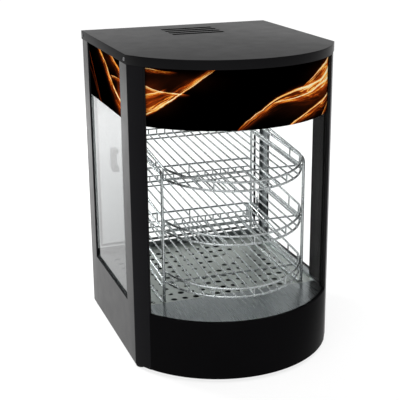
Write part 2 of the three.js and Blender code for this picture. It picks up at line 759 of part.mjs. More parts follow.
// Flat in its own frame, with the rim's wire centred on z = 0. It is turned to its slope later.
function shelf() {
  const { halfX, backY, wire, grid, arcRadius: radius, arcBack } = SHELF;
  const half = wire / 2;
  const gridHalf = grid / 2;
  const top = half - 0.4;
  const wires = Array.from({ length: SHELF_WIRES }, (_, i) => {
    const x = (i - (SHELF_WIRES - 1) / 2) * SHELF_PITCH;
    const frontY = arcBack - Math.sqrt(radius ** 2 - x ** 2);
    return box(x - gridHalf, x + gridHalf, frontY, backY, top, top + grid);
  });
  const barTop = -half + 0.4;
  const reach = RACK.halfX + 2;
  const bars = [SHELF.arcBack * 0.2, backY - 20].map((y) =>
    box(-reach, reach, y - half, y + half, barTop - wire, barTop));
  const posts = [
    [-halfX, 60], [halfX, 60], [-halfX, 170], [halfX, 170],
    [-halfX, backY], [halfX, backY], [0, arcBack - radius], [0, backY],
  ].map(([x, y]) => box(x - 1.5, x + 1.5, y - 1.5, y + 1.5, 0, GUARD.height + GUARD.rise * y));
  const backRail = box(-halfX, halfX, backY - 1.4, backY + 1.4, 12, 15);
  const rails = [shelfLoop(0, 0), shelfLoop(GUARD.height, GUARD.rise), backRail];
  return join(...rails, ...wires, ...bars, ...posts);
}

// ---------------------------------------------------------------- assembly
const group = new THREE.Group();

function add(name, solid, material, place) {
  const mesh = new THREE.Mesh(toGeometry(solid), material.clone());
  mesh.name = name;
  if (place?.position) mesh.position.copy(place.position);
  if (place?.tilt) mesh.rotation.x = place.tilt;
  group.add(mesh);
}

const SIDES = { left: -1, right: 1 };

add('top_cover', topCover(), blackPaint);
add('front_apron', frontApron(), blackPaint);
add('base_plate', basePlate(), zincSteel);
add('deck', deck(), stainless);
add('well_pan', wellPan(), stainless);
add('floor_plate', floorPlate(), stainless);
add('ceiling_panel', ceilingPanel(), stainless);
add('rear_lower_panel', rearLowerPanel(), blackPaint);
add('rear_header', rearHeader(), blackPaint);
add('rear_sill', rearSill(), stainless);
add('front_glass', frontGlass(), glass);
add('front_print', frontPrint(), printedFilm);

for (const [name, side] of Object.entries(SIDES)) {
  add(`${name}_side_panel`, sidePanel(side), blackPaint);
  add(`${name}_glass`, sideGlass(side), glass);
  add(`${name}_window_seal`, windowSeal(side), rubber);
  add(`${name}_print`, sidePrint(side), printedFilm);
  add(`rack_${name}_frame`, rackFrame(side), chrome);
  add(`foot_front_${name}`, foot(side * FOOT.x, FOOT.frontY), rubber);
  add(`foot_rear_${name}`, foot(side * FOOT.x, FOOT.rearY), rubber);
  add(`cover_screw_front_${name}`, coverScrew(side, 7), zincSteel);
  add(`cover_screw_rear_${name}`, coverScrew(side, 366), zincSteel);
}

add('heating_element', heatingElement(), zincSteel);
add('water_tray', waterTray(), stainless);
add('tray_support', traySupport(), stainless);

add('thermostat_body', thermostatBody(), zincSteel);
add('thermostat_shaft', thermostatShaft(), zincSteel);
add('thermostat_knob', thermostatKnob(), blackPlastic);
for (const [name, x, material] of [
  ['heat_switch', HEAT_SWITCH_X, redPlastic],
  ['lamp_switch', LAMP_SWITCH_X, blackPlastic],
]) {
  const pivot = new THREE.Vector3(x, CONTROL_FACE - 3, CONTROL_Z);
  add(`${name}_body`, switchBody(x), blackPlastic);
  add(`${name}_rocker`, rocker(), material, { position: pivot, tilt: ROCKER_TILT });
}
add('pilot_lamp', pilotLamp(), amberLens);
add('power_inlet', powerInlet(), blackPlastic);
add('terminal_block', terminalBlock(), ceramic);
add('lamp_holder', lampHolder(), ceramic);
add('lamp_bulb', lampBulb(), glass);

add('door_glass', doorGlass(), glass);
add('door_seal', doorSeal(), rubber);
add('door_handle', doorHandle(), blackPlastic);
for (const [name, z] of Object.entries(HINGE_HEIGHTS)) {
  add(`hinge_leaf_${name}`, hingeLeaf(z), zincSteel);
  add(`hinge_bracket_${name}`, hingeBracket(z), zincSteel);
  add(`hinge_pin_${name}`, hingePin(z), zincSteel);
}
add('catch_magnet', catchMagnet(), blackPlastic);
add('catch_plate', catchPlate(), zincSteel);

for (const [name, level] of Object.entries(SHELF_LEVELS)) {
  const position = new THREE.Vector3(RACK.x, RACK.frontY, level);
  add(`shelf_${name}`, shelf(), chrome, { position, tilt: SHELF_SLOPE });
}

group.position.y = (BULGE + LIP_PROUD - REARMOST) / 2;

export default group;
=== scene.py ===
import math

import bmesh
import bpy
from mathutils import Matrix, Vector


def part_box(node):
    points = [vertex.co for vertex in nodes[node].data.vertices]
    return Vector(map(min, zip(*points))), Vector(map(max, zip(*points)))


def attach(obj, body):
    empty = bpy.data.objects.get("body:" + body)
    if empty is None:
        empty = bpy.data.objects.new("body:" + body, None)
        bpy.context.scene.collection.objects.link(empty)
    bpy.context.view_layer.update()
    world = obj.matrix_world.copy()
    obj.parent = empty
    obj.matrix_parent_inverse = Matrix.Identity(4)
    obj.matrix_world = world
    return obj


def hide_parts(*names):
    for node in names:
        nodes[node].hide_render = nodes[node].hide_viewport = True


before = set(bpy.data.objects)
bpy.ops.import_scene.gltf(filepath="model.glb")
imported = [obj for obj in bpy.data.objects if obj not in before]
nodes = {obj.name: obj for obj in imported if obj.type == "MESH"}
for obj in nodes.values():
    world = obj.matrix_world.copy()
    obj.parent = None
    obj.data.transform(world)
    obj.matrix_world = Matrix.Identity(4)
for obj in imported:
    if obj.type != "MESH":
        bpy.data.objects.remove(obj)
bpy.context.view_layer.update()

MM = 0.001
GLASS_SETBACK = 41
FRONT_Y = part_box("left_glass")[0][1] - GLASS_SETBACK * MM  # the two front corners of the casing
SIDES = {"left": -1, "right": 1}
SMOOTH_ANGLE = math.radians(35)

# The casing's plan, in millimetres from the middle of its two front corners.
WIDTH = 450
SIDE_DEPTH = 378
PILLAR_X, PILLAR_Y = 23, 39
BULGE = 144
SHEET = 1.2
ARC_STEPS = 72
HALF = WIDTH / 2
ARC_X = HALF - PILLAR_X
SAGITTA = BULGE - PILLAR_Y
ARC_R = (ARC_X**2 + SAGITTA**2) / (2 * SAGITTA)
ARC_Y = ARC_R - BULGE
ARC_HALF = math.asin(ARC_X / ARC_R)
PILLAR_LENGTH = math.hypot(PILLAR_X, PILLAR_Y)
NORMAL_X, NORMAL_Y = PILLAR_Y / PILLAR_LENGTH, -PILLAR_X / PILLAR_LENGTH
PILLAR_ANGLE = math.atan2(NORMAL_X, -NORMAL_Y)

# Heights above the counter, in millimetres.
SHEET_FOOT = 9
DECK = 137
BAND_BOTTOM = 536
LIP_BOTTOM = 656
GLASS_TOP = 668
COVER_TOP = 675


def place(x, y, z):
    """A point given in millimetres from the front corners, in the row frame in metres."""
    return Vector((x * MM, y * MM + FRONT_Y, z * MM))


# ---------------- node helpers
class Tree:
    """A material's node tree, with a Principled shader ready."""

    def __init__(self, name):
        self.material = bpy.data.materials.new(name)
        self.material.use_nodes = True
        self.nodes = self.material.node_tree.nodes
        self.links = self.material.node_tree.links
        self.shader = self.nodes["Principled BSDF"]
        self.output = self.nodes["Material Output"]

    def set(self, **values):
        for key, value in values.items():
            socket = self.shader.inputs[key.replace("_", " ")]
            socket.default_value = value
        return self

    def link(self, source, target):
        self.links.new(source, target)

    def scaled(self, source, scale):
        mapping = self.nodes.new("ShaderNodeMapping")
        mapping.inputs["Scale"].default_value = scale
        self.link(source, mapping.inputs["Vector"])
        return mapping.outputs["Vector"]

    def coordinates(self, scale=(1, 1, 1), kind="Object"):
        source = self.nodes.new("ShaderNodeTexCoord")
        return self.scaled(source.outputs[kind], scale)

    def band(self, scale=(1, 1, 1)):
        """The place on a printed band: u along it and v up it."""
        source = self.nodes.new("ShaderNodeUVMap")
        source.uv_map = "band"
        return self.scaled(source.outputs["UV"], scale)

    def noise(self, vector, scale, detail=2.0, roughness=0.5, distortion=0.0):
        node = self.nodes.new("ShaderNodeTexNoise")
        node.inputs["Scale"].default_value = scale
        node.inputs["Detail"].default_value = detail
        node.inputs["Roughness"].default_value = roughness
        node.inputs["Distortion"].default_value = distortion
        self.link(vector, node.inputs["Vector"])
        return node.outputs["Fac"]

    def math(self, operation, a, b=None, c=None, clamp=False):
        node = self.nodes.new("ShaderNodeMath")
        node.operation = operation
        node.use_clamp = clamp
        for socket, value in zip(node.inputs, (a, b, c)):
            if value is None:
                continue
            if isinstance(value, (int, float)):
                socket.default_value = value
            else:
                self.link(value, socket)
        return node.outputs[0]

    def times(self, a, b):
        return self.math("MULTIPLY", a, b)

    def bell(self, square):
        """1 where a squared distance is 0, falling away smoothly to 0."""
        return self.math("EXPONENT", self.times(square, -1.0))

    def spread(self, value, low, high):
        """value, from 0..1, laid between low and high."""
        node = self.nodes.new("ShaderNodeMapRange")
        self.link(value, node.inputs["Value"])
        node.inputs["To Min"].default_value = low
        node.inputs["To Max"].default_value = high
        return node.outputs["Result"]

    def ramp(self, value, stops):
        node = self.nodes.new("ShaderNodeValToRGB")
        elements = node.color_ramp.elements
        while len(elements) < len(stops):
            elements.new(0.5)
        for element, (position, color) in zip(elements, stops):
            element.position = position
            element.color = (*color, 1)
        self.link(value, node.inputs["Fac"])
        return node.outputs["Color"]

    def mix(self, factor, a, b):
        node = self.nodes.new("ShaderNodeMix")
        node.data_type = "RGBA"
        for socket, value in zip((node.inputs[0], node.inputs[6], node.inputs[7]), (factor, a, b)):
            if isinstance(value, (int, float)):
                socket.default_value = value
            elif isinstance(value, tuple):
                socket.default_value = (*value, 1)
            else:
                self.link(value, socket)
        return node.outputs[2]

    def bump(self, height, strength, distance):
        node = self.nodes.new("ShaderNodeBump")
        node.inputs["Strength"].default_value = strength
        node.inputs["Distance"].default_value = distance
        self.link(height, node.inputs["Height"])
        self.link(node.outputs["Normal"], self.shader.inputs["Normal"])

    def color(self, source):
        self.link(source, self.shader.inputs["Base Color"])

    def roughness(self, source):
        self.link(source, self.shader.inputs["Roughness"])


# ---------------- materials
def powder_coat(name, color, low, high, specular):
    """Satin paint. low and high bound its roughness."""
    tree = Tree(name).set(Specular_IOR_Level=specular)
    where = tree.coordinates()
    cloud = tree.noise(where, 9, 3)
    grain = tree.noise(where, 900, 2)
    lighter = tuple(min(1, c * 1.35 + 0.0006) for c in color)
    tree.color(tree.mix(cloud, color, lighter))
    tree.roughness(tree.spread(tree.noise(where, 30, 4), low, high))
    tree.bump(grain, 0.12, 0.0002)
    return tree.material


def brushed(name, color, low, high, along, bump=0.25, contrast=0.22):
    """Sheet metal with a grain that runs along one axis."""
    tree = Tree(name).set(Metallic=1.0)
    stretch = [700, 700, 700]
    stretch[along] = 9
    grain = tree.noise(tree.coordinates(tuple(stretch)), 1, 3, 0.6)
    cloud = tree.noise(tree.coordinates(), 7, 3)
    darker = tuple(c * (1 - contrast) for c in color)
    tone = tree.math("MULTIPLY_ADD", grain, 0.55, tree.times(cloud, 0.4))
    tree.color(tree.mix(tone, darker, color))
    tree.roughness(tree.spread(grain, low, high))
    if bump:
        tree.bump(grain, bump, 0.00012)
    return tree.material


def pan_steel():
    """The well: painted shade, near black, below the ledge that carries the floor plate, and bright steel
    above it.
    """
    ledge = 0.895  # the ledge's height as a share of the well's
    tree = Tree("well_steel").set(Metallic=1.0)
    split = tree.nodes.new("ShaderNodeSeparateXYZ")
    tree.link(tree.coordinates(kind="Generated"), split.inputs["Vector"])
    above = tree.math("GREATER_THAN", split.outputs["Z"], ledge)
    grain = tree.noise(tree.coordinates((9, 700, 700)), 1, 3, 0.6)
    # painted shade: the steel below the ledge, down under the floor plate, is made near black
    dark = tree.mix(grain, (0.013, 0.014, 0.014), (0.018, 0.019, 0.019))
    bright = tree.mix(grain, (0.42, 0.45, 0.45), (0.50, 0.53, 0.53))
    tree.color(tree.mix(above, dark, bright))
    tree.roughness(tree.spread(grain, 0.35, 0.6))
    return tree.material


def chrome_wire():
    """Plated wire, a little dulled by use."""
    dull, bright = (0.34, 0.365, 0.37), (0.56, 0.585, 0.585)
    tree = Tree("chrome_wire").set(Metallic=1.0)
    where = tree.coordinates()
    tree.color(tree.mix(tree.noise(where, 60, 3), dull, bright))
    tree.roughness(tree.spread(tree.noise(where, 250, 3), 0.20, 0.32))
    tree.bump(tree.noise(where, 500, 2), 0.08, 0.0002)
    return tree.material


def pane(name, tint, ior, slant_shade=None):
    """Clear glass. Rays from lamps pass straight through it, tinted a little. Its last argument, if given,
    is its tint where it is seen along its face: painted shade that darkens what shows through the pane at a
    slant."""
    tree = Tree(name).set(Base_Color=(*tint, 1), Transmission_Weight=1.0, Roughness=0.0, IOR=ior)
    if slant_shade:
        facing = tree.nodes.new("ShaderNodeLayerWeight").outputs["Facing"]
        slant = tree.nodes.new("ShaderNodeMapRange")
        slant.interpolation_type = "SMOOTHSTEP"
        slant.inputs["From Min"].default_value = 0.45
        slant.inputs["From Max"].default_value = 0.70
        tree.link(facing, slant.inputs["Value"])
        tree.color(tree.mix(slant.outputs["Result"], tint, slant_shade))
    clear = tree.nodes.new("ShaderNodeBsdfTransparent")
    clear.inputs["Color"].default_value = (*tint, 1)
    path = tree.nodes.new("ShaderNodeLightPath")
    mixer = tree.nodes.new("ShaderNodeMixShader")
    tree.link(path.outputs["Is Shadow Ray"], mixer.inputs["Fac"])
    tree.link(tree.shader.outputs["BSDF"], mixer.inputs[1])
    tree.link(clear.outputs["BSDF"], mixer.inputs[2])
    tree.link(mixer.outputs["Shader"], tree.output.inputs["Surface"])
    return tree.material


def moulded(name, color, low, high, grain_scale=1500, bump=0.15, specular=0.4):
    """Plastic, rubber, enamel or a matt lining with a fine grain."""
    tree = Tree(name).set(Specular_IOR_Level=specular)
    where = tree.coordinates()
    lighter = tuple(min(1, c * 1.25 + 0.001) for c in color)
    tree.color(tree.mix(tree.noise(where, 40, 3), color, lighter))
    tree.roughness(tree.spread(tree.noise(where, 120, 3), low, high))
    tree.bump(tree.noise(where, grain_scale, 2), bump, 0.0002)
    return tree.material


# The colours of fire: (brightness, colour).
FIRE = (
    (0.0, (0.0, 0.0, 0.0)),
    (0.09, (0.012, 0.003, 0.001)),
    (0.24, (0.10, 0.014, 0.002)),
    (0.44, (0.52, 0.068, 0.006)),
    (0.62, (0.95, 0.32, 0.028)),
    (0.84, (1.0, 0.62, 0.15)),
    (1.0, (1.0, 0.86, 0.52)),
)
THINNEST_WISP = 0.008
SOFT_SIDE, HARD_SIDE = 0.55, 5.55  # how fast a wisp's body fades to either side of its line
STRANDS = {"glow": 0.84, "body": 0.24, "fine": 12.0}
RIM = {"at": 0.18, "width": 0.155, "glow": 1.25}


def wisp_grain(tree, along, across, seed):
    """Noise drawn out along a wisp."""
    where = tree.nodes.new("ShaderNodeCombineXYZ")
    tree.link(along, where.inputs["X"])
    tree.link(tree.times(across, 1.5), where.inputs["Y"])
    where.inputs["Z"].default_value = seed * 3.7
    return tree.noise(where.outputs["Vector"], 1.0, 3, 0.55, 0.5)


def wisp(tree, u, v, seed, path):
    """The brightness of one burning wisp. Its path (u0, u1, v0, v1, sag, wave, start, end, strength,
    body_side) runs from (u0, v0) to (u1, v1), sags sideways and waves slowly. It is start wide at one
    end and end wide at the other, and holds strands that follow it. Its body glows above its bright
    rim where body_side is 1, and below it where body_side is -1."""
    u0, u1, v0, v1, sag, wave, start, end, strength, body_side = path
    t = tree.math("DIVIDE", tree.math("SUBTRACT", u, u0), u1 - u0)
    inside = tree.times(t, tree.math("SUBTRACT", 1.0, t))
    line = tree.math("MULTIPLY_ADD", t, v1 - v0, v0)
    line = tree.math("MULTIPLY_ADD", inside, sag * 4, line)
    line = tree.math("MULTIPLY_ADD", tree.math("SINE", tree.times(t, 2 * math.pi)), wave, line)
    width = tree.math("MULTIPLY_ADD", t, end - start, start)
    width = tree.math("MAXIMUM", width, THINNEST_WISP)
    across = tree.math("DIVIDE", tree.math("SUBTRACT", v, line), width)
    across = tree.times(across, -body_side)
    hard = tree.math("GREATER_THAN", across, 0.0)
    steep = tree.math("MULTIPLY_ADD", hard, HARD_SIDE - SOFT_SIDE, SOFT_SIDE)
    body = tree.bell(tree.times(tree.times(across, across), steep))
    grain = wisp_grain(tree, tree.times(t, 3.0 * abs(u1 - u0) + 1.2), across, seed)
    fold = tree.math("ABSOLUTE", tree.math("MULTIPLY_ADD", grain, 2.0, -1.0))
    strand = tree.math("POWER", tree.math("SUBTRACT", 1.0, fold), STRANDS["fine"])
    light = tree.times(body, tree.math("MULTIPLY_ADD", strand, STRANDS["glow"], STRANDS["body"]))
    rim_gap = tree.math("DIVIDE", tree.math("SUBTRACT", across, RIM["at"]), RIM["width"])
    rim = tree.times(tree.bell(tree.times(rim_gap, rim_gap)), tree.spread(grain, 0.3, 1.0))
    light = tree.math("MULTIPLY_ADD", rim, RIM["glow"], light)
    ends = tree.math("MULTIPLY", inside, 8.0, clamp=True)
    return tree.times(tree.times(light, ends), strength)


def flames(name, wisps, glows):
    """Black film with burning wisps and dim glows, (u, v, across, up, strength). u runs along the
    band and v up it, both from 0 to 1."""
    tree = Tree(name).set(Roughness=0.5, Specular_IOR_Level=0.0)
    uv = tree.band()
    split = tree.nodes.new("ShaderNodeSeparateXYZ")
    tree.link(uv, split.inputs["Vector"])
    ripple = tree.math("SUBTRACT", tree.noise(uv, 4.5, 3, 0.55), 0.5)
    u = split.outputs["X"]
    v = tree.math("MULTIPLY_ADD", ripple, 0.10, split.outputs["Y"])
    total = 0.0
    for seed, path in enumerate(wisps):
        total = tree.math("ADD", total, wisp(tree, u, v, seed, path))
    smoke = tree.noise(tree.band((5, 2.4, 1)), 1, 4, 0.6, 1.5)
    for centre_u, centre_v, across, up, strength in glows:
        du = tree.math("DIVIDE", tree.math("SUBTRACT", u, centre_u), across)
        dv = tree.math("DIVIDE", tree.math("SUBTRACT", v, centre_v), up)
        spot = tree.bell(tree.math("ADD", tree.times(du, du), tree.times(dv, dv)))
        total = tree.math("MULTIPLY_ADD", tree.times(spot, smoke), strength, total)
    flicker = tree.spread(tree.noise(tree.band((3.1, 2.3, 1)), 1, 2), 0.55, 1.12)
    tree.color(tree.ramp(tree.times(total, flicker), FIRE))
    return tree.material


black_coat = powder_coat("black_coat", (0.0034, 0.0033, 0.0042), 0.28, 0.38, 0.045)
side_coat = powder_coat("side_coat", (0.0036, 0.0034, 0.0036), 0.28, 0.38, 0.13)
cover_coat = powder_coat("cover_coat", (0.0046, 0.0045, 0.0050), 0.30, 0.40, 0.05)
apron_coat = powder_coat("apron_coat", (0.0026, 0.0025, 0.0028), 0.28, 0.38, 0.006)
deck_steel = brushed("deck_steel", (0.24, 0.26, 0.267), 0.24, 0.32, 1, 0.0, 0.08)
well_steel = pan_steel()
sill_steel = brushed("sill_steel", (0.34, 0.37, 0.37), 0.4, 0.6, 0)
screw_steel = brushed("screw_steel", (0.16, 0.16, 0.165), 0.3, 0.45, 2)
plate_steel = brushed("plate_steel", (0.46, 0.49, 0.468), 0.32, 0.55, 0)
tray_steel = brushed("tray_steel", (0.020, 0.020, 0.021), 0.4, 0.6, 1)
ceiling_steel = brushed("ceiling_steel", (0.30, 0.30, 0.30), 0.3, 0.5, 1)
corner_steel = brushed("corner_steel", (0.17, 0.19, 0.195), 0.35, 0.55, 2)
liner_coat = moulded("liner_coat", (0.0150, 0.0148, 0.0150), 0.5, 0.7, 900, 0.1, 0.02)
zinc = brushed("zinc", (0.56, 0.57, 0.58), 0.25, 0.45, 2)
element_steel = brushed("element_steel", (0.10, 0.098, 0.095), 0.35, 0.6, 1)
chrome = chrome_wire()
front_pane = pane("front_pane", (0.99, 0.995, 0.995), 1.02)
# painted shade: only the left pane darkens almost to black where it is seen along its face
left_pane = pane("left_pane", (0.93, 0.95, 0.945), 1.32, (0.052, 0.056, 0.057))
right_pane = pane("right_pane", (0.97, 0.985, 0.98), 1.08)
door_pane = pane("door_pane", (0.97, 0.985, 0.98), 1.12)
bulb_pane = pane("bulb_pane", (0.99, 0.985, 0.97), 1.3)
seal_rubber = moulded("seal_rubber", (0.004, 0.004, 0.005), 0.55, 0.8, specular=0.1)
foot_rubber = moulded("foot_rubber", (0.008, 0.008, 0.008), 0.7, 0.9, specular=0.2)
black_plastic = moulded("black_plastic", (0.010, 0.010, 0.011), 0.35, 0.55)
red_plastic = moulded("red_plastic", (0.42, 0.012, 0.008), 0.12, 0.22, 300, 0.03)
amber_plastic = moulded("amber_plastic", (0.75, 0.24, 0.012), 0.08, 0.16, 300, 0.03)
white_ceramic = moulded("white_ceramic", (0.74, 0.72, 0.66), 0.15, 0.3, 200, 0.04)


# ---------------- mesh helpers
def new_object(name, data):
    """An object in the scene that holds a mesh, a lamp or a camera."""
    obj = bpy.data.objects.new(name, data)
    bpy.context.scene.collection.objects.link(obj)
    return obj


def smooth(mesh, angle=SMOOTH_ANGLE):
    """Shades a mesh smooth, apart from the edges that turn by more than angle."""
    mesh.polygons.foreach_set("use_smooth", [True] * len(mesh.polygons))
    mesh.set_sharp_from_angle(angle=angle)


def write_back(bm, mesh, angle=SMOOTH_ANGLE):
    """Turns the faces outward and puts them in the mesh."""
    bmesh.ops.recalc_face_normals(bm, faces=bm.faces)
    bm.to_mesh(mesh)
    bm.free()
    smooth(mesh, angle)


class Shape:
    """Vertices and faces gathered from several closed parts, in metres."""

    def __init__(self):
        self.points = []
        self.faces = []

    def add(self, points, faces):
        start = len(self.points)
        self.points.extend(points)
        self.faces.extend([tuple(start + i for i in face) for face in faces])
        return self

    def make(self, name, material, body, slot, replaced):
        """The piece itself, as an object that rides a body and stands for the replaced nodes."""
        mesh = bpy.data.meshes.new(name)
        mesh.from_pydata([tuple(p) for p in self.points], [], self.faces)
        mesh.validate()
        bm = bmesh.new()
        bm.from_mesh(mesh)
        write_back(bm, mesh)
        mesh.materials.append(material)
        obj = new_object(name, mesh)
        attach(obj, body)
        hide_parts(*replaced)
        return obj


def soften(obj, width, segments):
    """Rounds an object's edges."""
    bevel = obj.modifiers.new("edges", "BEVEL")
    bevel.width = width * MM
    bevel.segments = segments
    bevel.limit_method = "ANGLE"
    bevel.angle_limit = SMOOTH_ANGLE


def ring_faces(count, size, closed=False):
    """The quads between count rings of size points each, and on to the first ring if closed."""
    faces = []
    for i in range(count if closed else count - 1):
        j = (i + 1) % count
        for k in range(size):
            m = (k + 1) % size
            faces.append((i * size + k, i * size + m, j * size + m, j * size + k))
    return faces


def end_faces(count, size):
    """The faces that close the first and the last of count rings."""
    last = (count - 1) * size
    return [tuple(range(size)), tuple(last + k for k in reversed(range(size)))]


def rounded(points, radius, steps=5, closed=False):
    """A polyline's points, each corner turned into a curve that starts radius before it or less."""
    count = len(points)
    result = []
    for i, corner in enumerate(points):
        if not closed and i in (0, count - 1):
            result.append(corner)
            continue
        before = points[i - 1] - corner
        after = points[(i + 1) % count] - corner
        reach = min(radius, before.length * 0.45, after.length * 0.45)
        start = corner + before.normalized() * reach
        end = corner + after.normalized() * reach
        for k in range(steps + 1):
            t = k / steps
            result.append(start * (1 - t) ** 2 + corner * (2 * t * (1 - t)) + end * t**2)
    return result


def tube(points, radius, sides=10, closed=False):
    """A round wire along points, which are in metres. radius is in millimetres."""
    radius *= MM
    count = len(points)
    tangents = []
    for i in range(count):
        ahead = points[(i + 1) % count] if closed or i < count - 1 else points[i]
        behind = points[i - 1] if closed or i > 0 else points[i]
        tangents.append((ahead - behind).normalized())
    first = Vector((0, 0, 1)) if abs(tangents[0].z) < 0.9 else Vector((1, 0, 0))
    side = tangents[0].cross(first).normalized()
    sides_out = [side]
    for i in range(1, count):
        turn = tangents[i - 1].rotation_difference(tangents[i])
        side = turn @ side
        side = (side - tangents[i] * side.dot(tangents[i])).normalized()
        sides_out.append(side)
    twist = 0.0
    if closed:
        turn = tangents[-1].rotation_difference(tangents[0])
        last = turn @ sides_out[-1]
        twist = math.atan2(last.cross(sides_out[0]).dot(tangents[0]), last.dot(sides_out[0]))
    ring = []
    for i, (point, tangent, side) in enumerate(zip(points, tangents, sides_out)):
        up = tangent.cross(side)
        lean = twist * i / count
        for k in range(sides):
            a = 2 * math.pi * k / sides + lean
            ring.append(point + (side * math.cos(a) + up * math.sin(a)) * radius)
    faces = ring_faces(count, sides, closed)
    if not closed:
        faces += end_faces(count, sides)
    return ring, faces


def arc_wall(profile, half_angle, steps):
    """A closed (radius, z) profile in millimetres, swept round the front arc."""
    points = []
    for i in range(steps + 1):
        a = -half_angle + 2 * half_angle * i / steps
        for radius, z in profile:
            points.append(place(radius * math.sin(a), ARC_Y - radius * math.cos(a), z))
    size = len(profile)
    return points, ring_faces(steps + 1, size) + end_faces(steps + 1, size)


def plan(inset):
    """The casing's plan moved inwards by inset, as (x, y) in millimetres."""
    half = HALF - inset
    reach = NORMAL_X * HALF - inset
    shoulder = (reach - NORMAL_X * half) / NORMAL_Y
    radius = ARC_R - inset
    from_centre = NORMAL_X * HALF - NORMAL_Y * ARC_Y
    end = PILLAR_ANGLE - math.acos(min(1.0, (from_centre - inset) / radius))
    arc = []
    for i in range(ARC_STEPS + 1):
        a = -end + 2 * end * i / ARC_STEPS
        arc.append((radius * math.sin(a), ARC_Y - radius * math.cos(a)))
    rear = SIDE_DEPTH - inset
    return [(half, rear), (-half, rear), (-half, shoulder), *arc, (half, shoulder)]


def box_part(x0, x1, y0, y1, z0, z1):
    """A plain box."""
    points = [place(x, y, z) for z in (z0, z1) for y in (y0, y1) for x in (x0, x1)]
    faces = [(0, 1, 3, 2), (4, 6, 7, 5), (0, 4, 5, 1), (2, 3, 7, 6), (0, 2, 6, 4), (1, 5, 7, 3)]
    return points, faces


def flat_fill(loops, z):
    """Triangles between an outer loop and its holes, all at height z. Returns (points, faces)."""
    bm = bmesh.new()
    edges = []
    for loop in loops:
        ring = [bm.verts.new((x, y, 0)) for x, y in loop]
        edges.extend(bm.edges.new((ring[i], ring[(i + 1) % len(ring)])) for i in range(len(ring)))
    bmesh.ops.triangle_fill(bm, edges=edges, use_beauty=True, use_dissolve=False)
    bm.verts.index_update()
    faces = [tuple(v.index for v in face.verts) for face in bm.faces]
    points = [place(v.co.x, v.co.y, z) for v in bm.verts]
    bm.free()
    return points, faces


def rounded_box(x0, x1, y0, y1, radius, steps=3):
    """A rectangle with rounded corners as (x, y)."""
    corners = [(x1 - radius, y1 - radius, 0), (x0 + radius, y1 - radius, 90),
               (x0 + radius, y0 + radius, 180), (x1 - radius, y0 + radius, 270)]
    loop = []
    for cx, cy, start in corners:  # start is in degrees
        for k in range(steps + 1):
            a = math.radians(start + 90 * k / steps)
            loop.append((cx + radius * math.cos(a), cy + radius * math.sin(a)))
    return loop


def weld(obj):
    """Joins vertices that lie on each other."""
    bm = bmesh.new()
    bm.from_mesh(obj.data)
    bmesh.ops.remove_doubles(bm, verts=bm.verts, dist=0.01 * MM)
    write_back(bm, obj.data)


def lathe(axis, centre, profile, sides=32):
    """A closed turned body. Its profile, (radius, along) in millimetres, runs from one pole to
    the other, and centre is the point where along is 0."""
    points, rings = [], []
    for radius, along in profile:
        rings.append(range(len(points), len(points) + (sides if radius else 1)))
        for k in range(len(rings[-1])):
            a = 2 * math.pi * k / sides
            c, s = radius * math.cos(a), radius * math.sin(a)
            spot = {"x": (along, c, s), "y": (c, along, s), "z": (c, s, along)}[axis]
            points.append(centre + Vector(spot) * MM)
    faces = []
    for a, b in zip(rings, rings[1:]):
        for k in range(sides):
            m = (k + 1) % sides
            face = [a[k % len(a)], a[m % len(a)], b[m % len(b)], b[k % len(b)]]
            faces.append(tuple(dict.fromkeys(face)))
    return points, faces


def middle(name):
    """The middle of a node's box and its size in millimetres."""
    low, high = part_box(name)
    return (Vector(low) + Vector(high)) / 2, (Vector(high) - Vector(low)) / MM


def plan_box(name):
    """A node's box as (x0, x1, y0, y1, z0, z1) in the plan's millimetres."""
    low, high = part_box(name)
    y0, y1 = (low.y - FRONT_Y) / MM, (high.y - FRONT_Y) / MM
    return low.x / MM, high.x / MM, y0, y1, low.z / MM, high.z / MM


# ---------------- casing
FILLET = 1.3
COVER_PROUD = 1.5  # how far the cover's lip stands out past the casing
VENT = {"x0": -55, "x1": 66, "y0": 221, "pitch": 27.5, "width": 16, "slots": 4, "corner": 2.5}


def top_cover():
    """The flat cover with its turned-down lip and its vent."""
    outside, inside = -COVER_PROUD, SHEET - COVER_PROUD
    under = COVER_TOP - SHEET
    levels = [(inside, under), (inside, LIP_BOTTOM), (outside, LIP_BOTTOM), (outside, COVER_TOP - FILLET)]
    for degrees in (22.5, 45, 67.5, 90):
        a = math.radians(degrees)
        levels.append((outside + FILLET * (1 - math.cos(a)), COVER_TOP - FILLET + FILLET * math.sin(a)))
    rings = [[place(x, y, z) for x, y in plan(inset)] for inset, z in levels]
    shape = Shape().add([p for ring in rings for p in ring], ring_faces(len(rings), len(rings[0])))
    starts = [VENT["y0"] + i * VENT["pitch"] for i in range(VENT["slots"])]
    slots = [rounded_box(VENT["x0"], VENT["x1"], y, y + VENT["width"], VENT["corner"]) for y in starts]
    shape.add(*flat_fill([plan(levels[-1][0]), *slots], COVER_TOP))
    shape.add(*flat_fill([plan(inside), *slots], under))
    for slot in slots:
        wall = [place(x, y, z) for z in (under, COVER_TOP) for x, y in slot]
        shape.add(wall, ring_faces(2, len(slot)))
    weld(shape.make("cover", cover_coat, "case", "black_paint", ["top_cover"]))


# The folded strip that boxes a front corner in, between the deck and the ceiling.
LINER = {"x": 206, "return_x": 216, "front": -4, "back": 51, "gap": 3, "z": (137.3, 621.7)}


